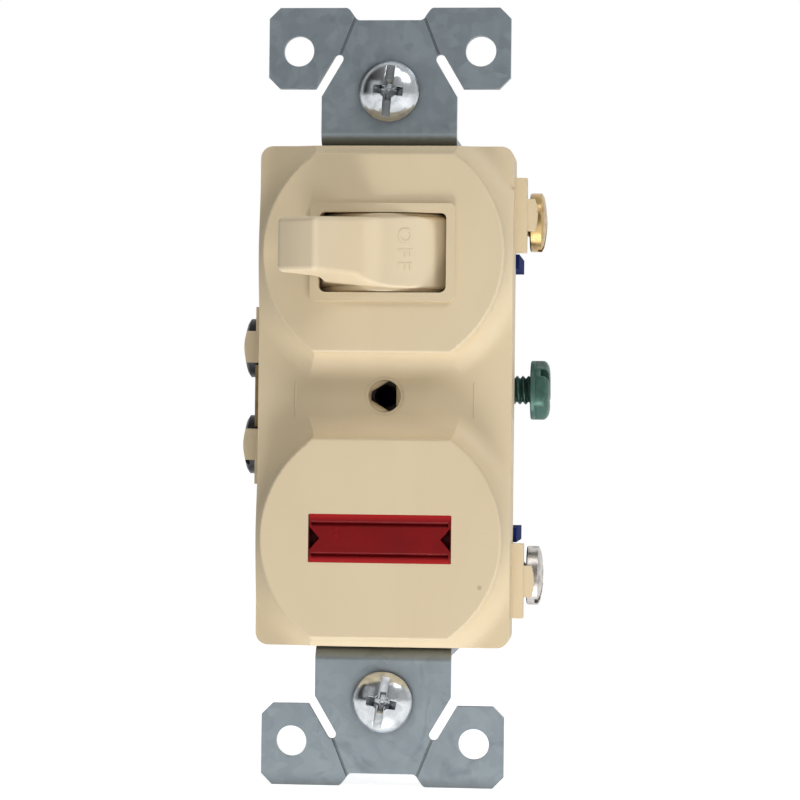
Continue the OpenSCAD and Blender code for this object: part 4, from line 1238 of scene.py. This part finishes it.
def make_marks():
    """Two faint mould lines on the shoulder between the faces."""
    bm = bmesh.new()
    for x in (-MARK_X, MARK_X):
        low = (x - MARK_HALF, MARK_Y[0], MARK_Z[0])
        high = (x + MARK_HALF, MARK_Y[1], MARK_Z[1])
        merge(bm, plank(low, high, MARK_EDGE))
    add_piece("mould_marks", bm, "front_cover", "housing")


make_marks()


# Studio, in metres

ROOM_LIGHT = 0.27
GREY_LEFT = 0.04
GREY_RIGHT = 0.56
SIDE_SPREAD = 0.7
FRONT_FROM = -0.3
BEHIND_FROM = 0.2


def make_world():
    """White to the camera, soft light to plain surfaces.

    Metal and glass see it white behind the object, and grey in front of it, darker at the left.
    """
    scene = bpy.context.scene
    scene.view_settings.view_transform = "Standard"
    world = bpy.data.worlds.new("room")
    scene.world = world
    world.use_nodes = True
    nodes, links = world.node_tree.nodes, world.node_tree.links
    background = nodes["Background"]
    background.inputs["Color"].default_value = (1, 1, 1, 1)
    path = nodes.new("ShaderNodeLightPath")
    place = nodes.new("ShaderNodeTexCoord")
    split = nodes.new("ShaderNodeSeparateXYZ")
    links.new(place.outputs["Generated"], split.inputs[0])
    behind = nodes.new("ShaderNodeMapRange")
    behind.inputs["From Min"].default_value = FRONT_FROM
    behind.inputs["From Max"].default_value = BEHIND_FROM
    behind.inputs["To Max"].default_value = 1.0
    links.new(split.outputs[1], behind.inputs["Value"])
    front = nodes.new("ShaderNodeMapRange")
    front.inputs["From Min"].default_value = -SIDE_SPREAD
    front.inputs["From Max"].default_value = SIDE_SPREAD
    front.inputs["To Min"].default_value = GREY_LEFT
    front.inputs["To Max"].default_value = GREY_RIGHT
    links.new(split.outputs[0], front.inputs["Value"])
    links.new(front.outputs[0], behind.inputs["To Min"])
    mirrored = nodes.new("ShaderNodeMath")
    mirrored.operation = "MAXIMUM"
    links.new(path.outputs["Is Glossy Ray"], mirrored.inputs[0])
    links.new(path.outputs["Is Transmission Ray"], mirrored.inputs[1])
    around = nodes.new("ShaderNodeMix")
    around.inputs[2].default_value = ROOM_LIGHT
    links.new(mirrored.outputs[0], around.inputs[0])
    links.new(behind.outputs[0], around.inputs[3])
    strength = nodes.new("ShaderNodeMath")
    strength.operation = "MAXIMUM"
    links.new(path.outputs["Is Camera Ray"], strength.inputs[0])
    links.new(around.outputs[0], strength.inputs[1])
    links.new(strength.outputs[0], background.inputs["Strength"])


FLOOR_SIDE = 4.0
FLOOR_GAP = 0.05
FLOOR_GLOW = 0.75


def make_floor():
    """Pale floor under the strap's lower end, white to the camera where no shadow falls.

    Light passes through it from the lamps below, and it still takes the object's shadow.
    """
    side = FLOOR_SIDE
    level = CAD_BOX[0][2] - FLOOR_GAP * MM
    mesh = bpy.data.meshes.new("floor")
    corners = [(-side, -side, level), (side, -side, level), (side, side, level), (-side, side, level)]
    mesh.from_pydata(corners, [], [(0, 1, 2, 3)])
    floor = bpy.data.objects.new("floor", mesh)
    bpy.context.scene.collection.objects.link(floor)
    paint = Paint("floor", 0.8)
    paint.color(paint.ramp(paint.noise(40), (0.3, srgb(226, 226, 226)), (0.7, srgb(230, 230, 230))))
    paint.shader.inputs["Emission Color"].default_value = (1, 1, 1, 1)
    path = paint.node("ShaderNodeLightPath")
    seen = paint.maths("MAXIMUM", path.outputs["Is Camera Ray"], path.outputs["Is Glossy Ray"])
    seen = paint.maths("MAXIMUM", seen, path.outputs["Is Transmission Ray"])
    paint.feed(paint.shader.inputs["Emission Strength"], paint.maths("MULTIPLY", seen, FLOOR_GLOW))
    clear = paint.node("ShaderNodeBsdfTransparent")
    passes = paint.node("ShaderNodeMixShader")
    paint.feed(passes.inputs[0], path.outputs["Is Shadow Ray"])
    paint.feed(passes.inputs[1], paint.shader.outputs[0])
    paint.feed(passes.inputs[2], clear.outputs[0])
    paint.feed(paint.tree.nodes["Material Output"].inputs["Surface"], passes.outputs[0])
    mesh.materials.append(paint.material)


# Name, place, side and watts of each square lamp, all aimed at the object's middle
LAMPS = (
    ("below", (0.03, -0.196, -0.458), 0.16, 1.75),
    ("lower_right", (0.347, -0.265, -0.243), 0.16, 0.55),
    ("upper_right", (0.306, -0.275, 0.365), 0.18, 0.95),
    ("above", (0.06, -0.27, 0.46), 0.25, 0.4),
    ("left_fill", (-0.5, -0.6, 0.25), 0.4, 0.25),
)


def make_lamp(name, place, side, power):
    data = bpy.data.lights.new(name, "AREA")
    data.shape = "SQUARE"
    data.size = side
    data.energy = power
    lamp = bpy.data.objects.new(name, data)
    bpy.context.scene.collection.objects.link(lamp)
    lamp.location = place
    lamp.rotation_euler = (-Vector(place)).to_track_quat("-Z", "Y").to_euler()


make_world()
make_floor()
for row in LAMPS:
    make_lamp(*row)
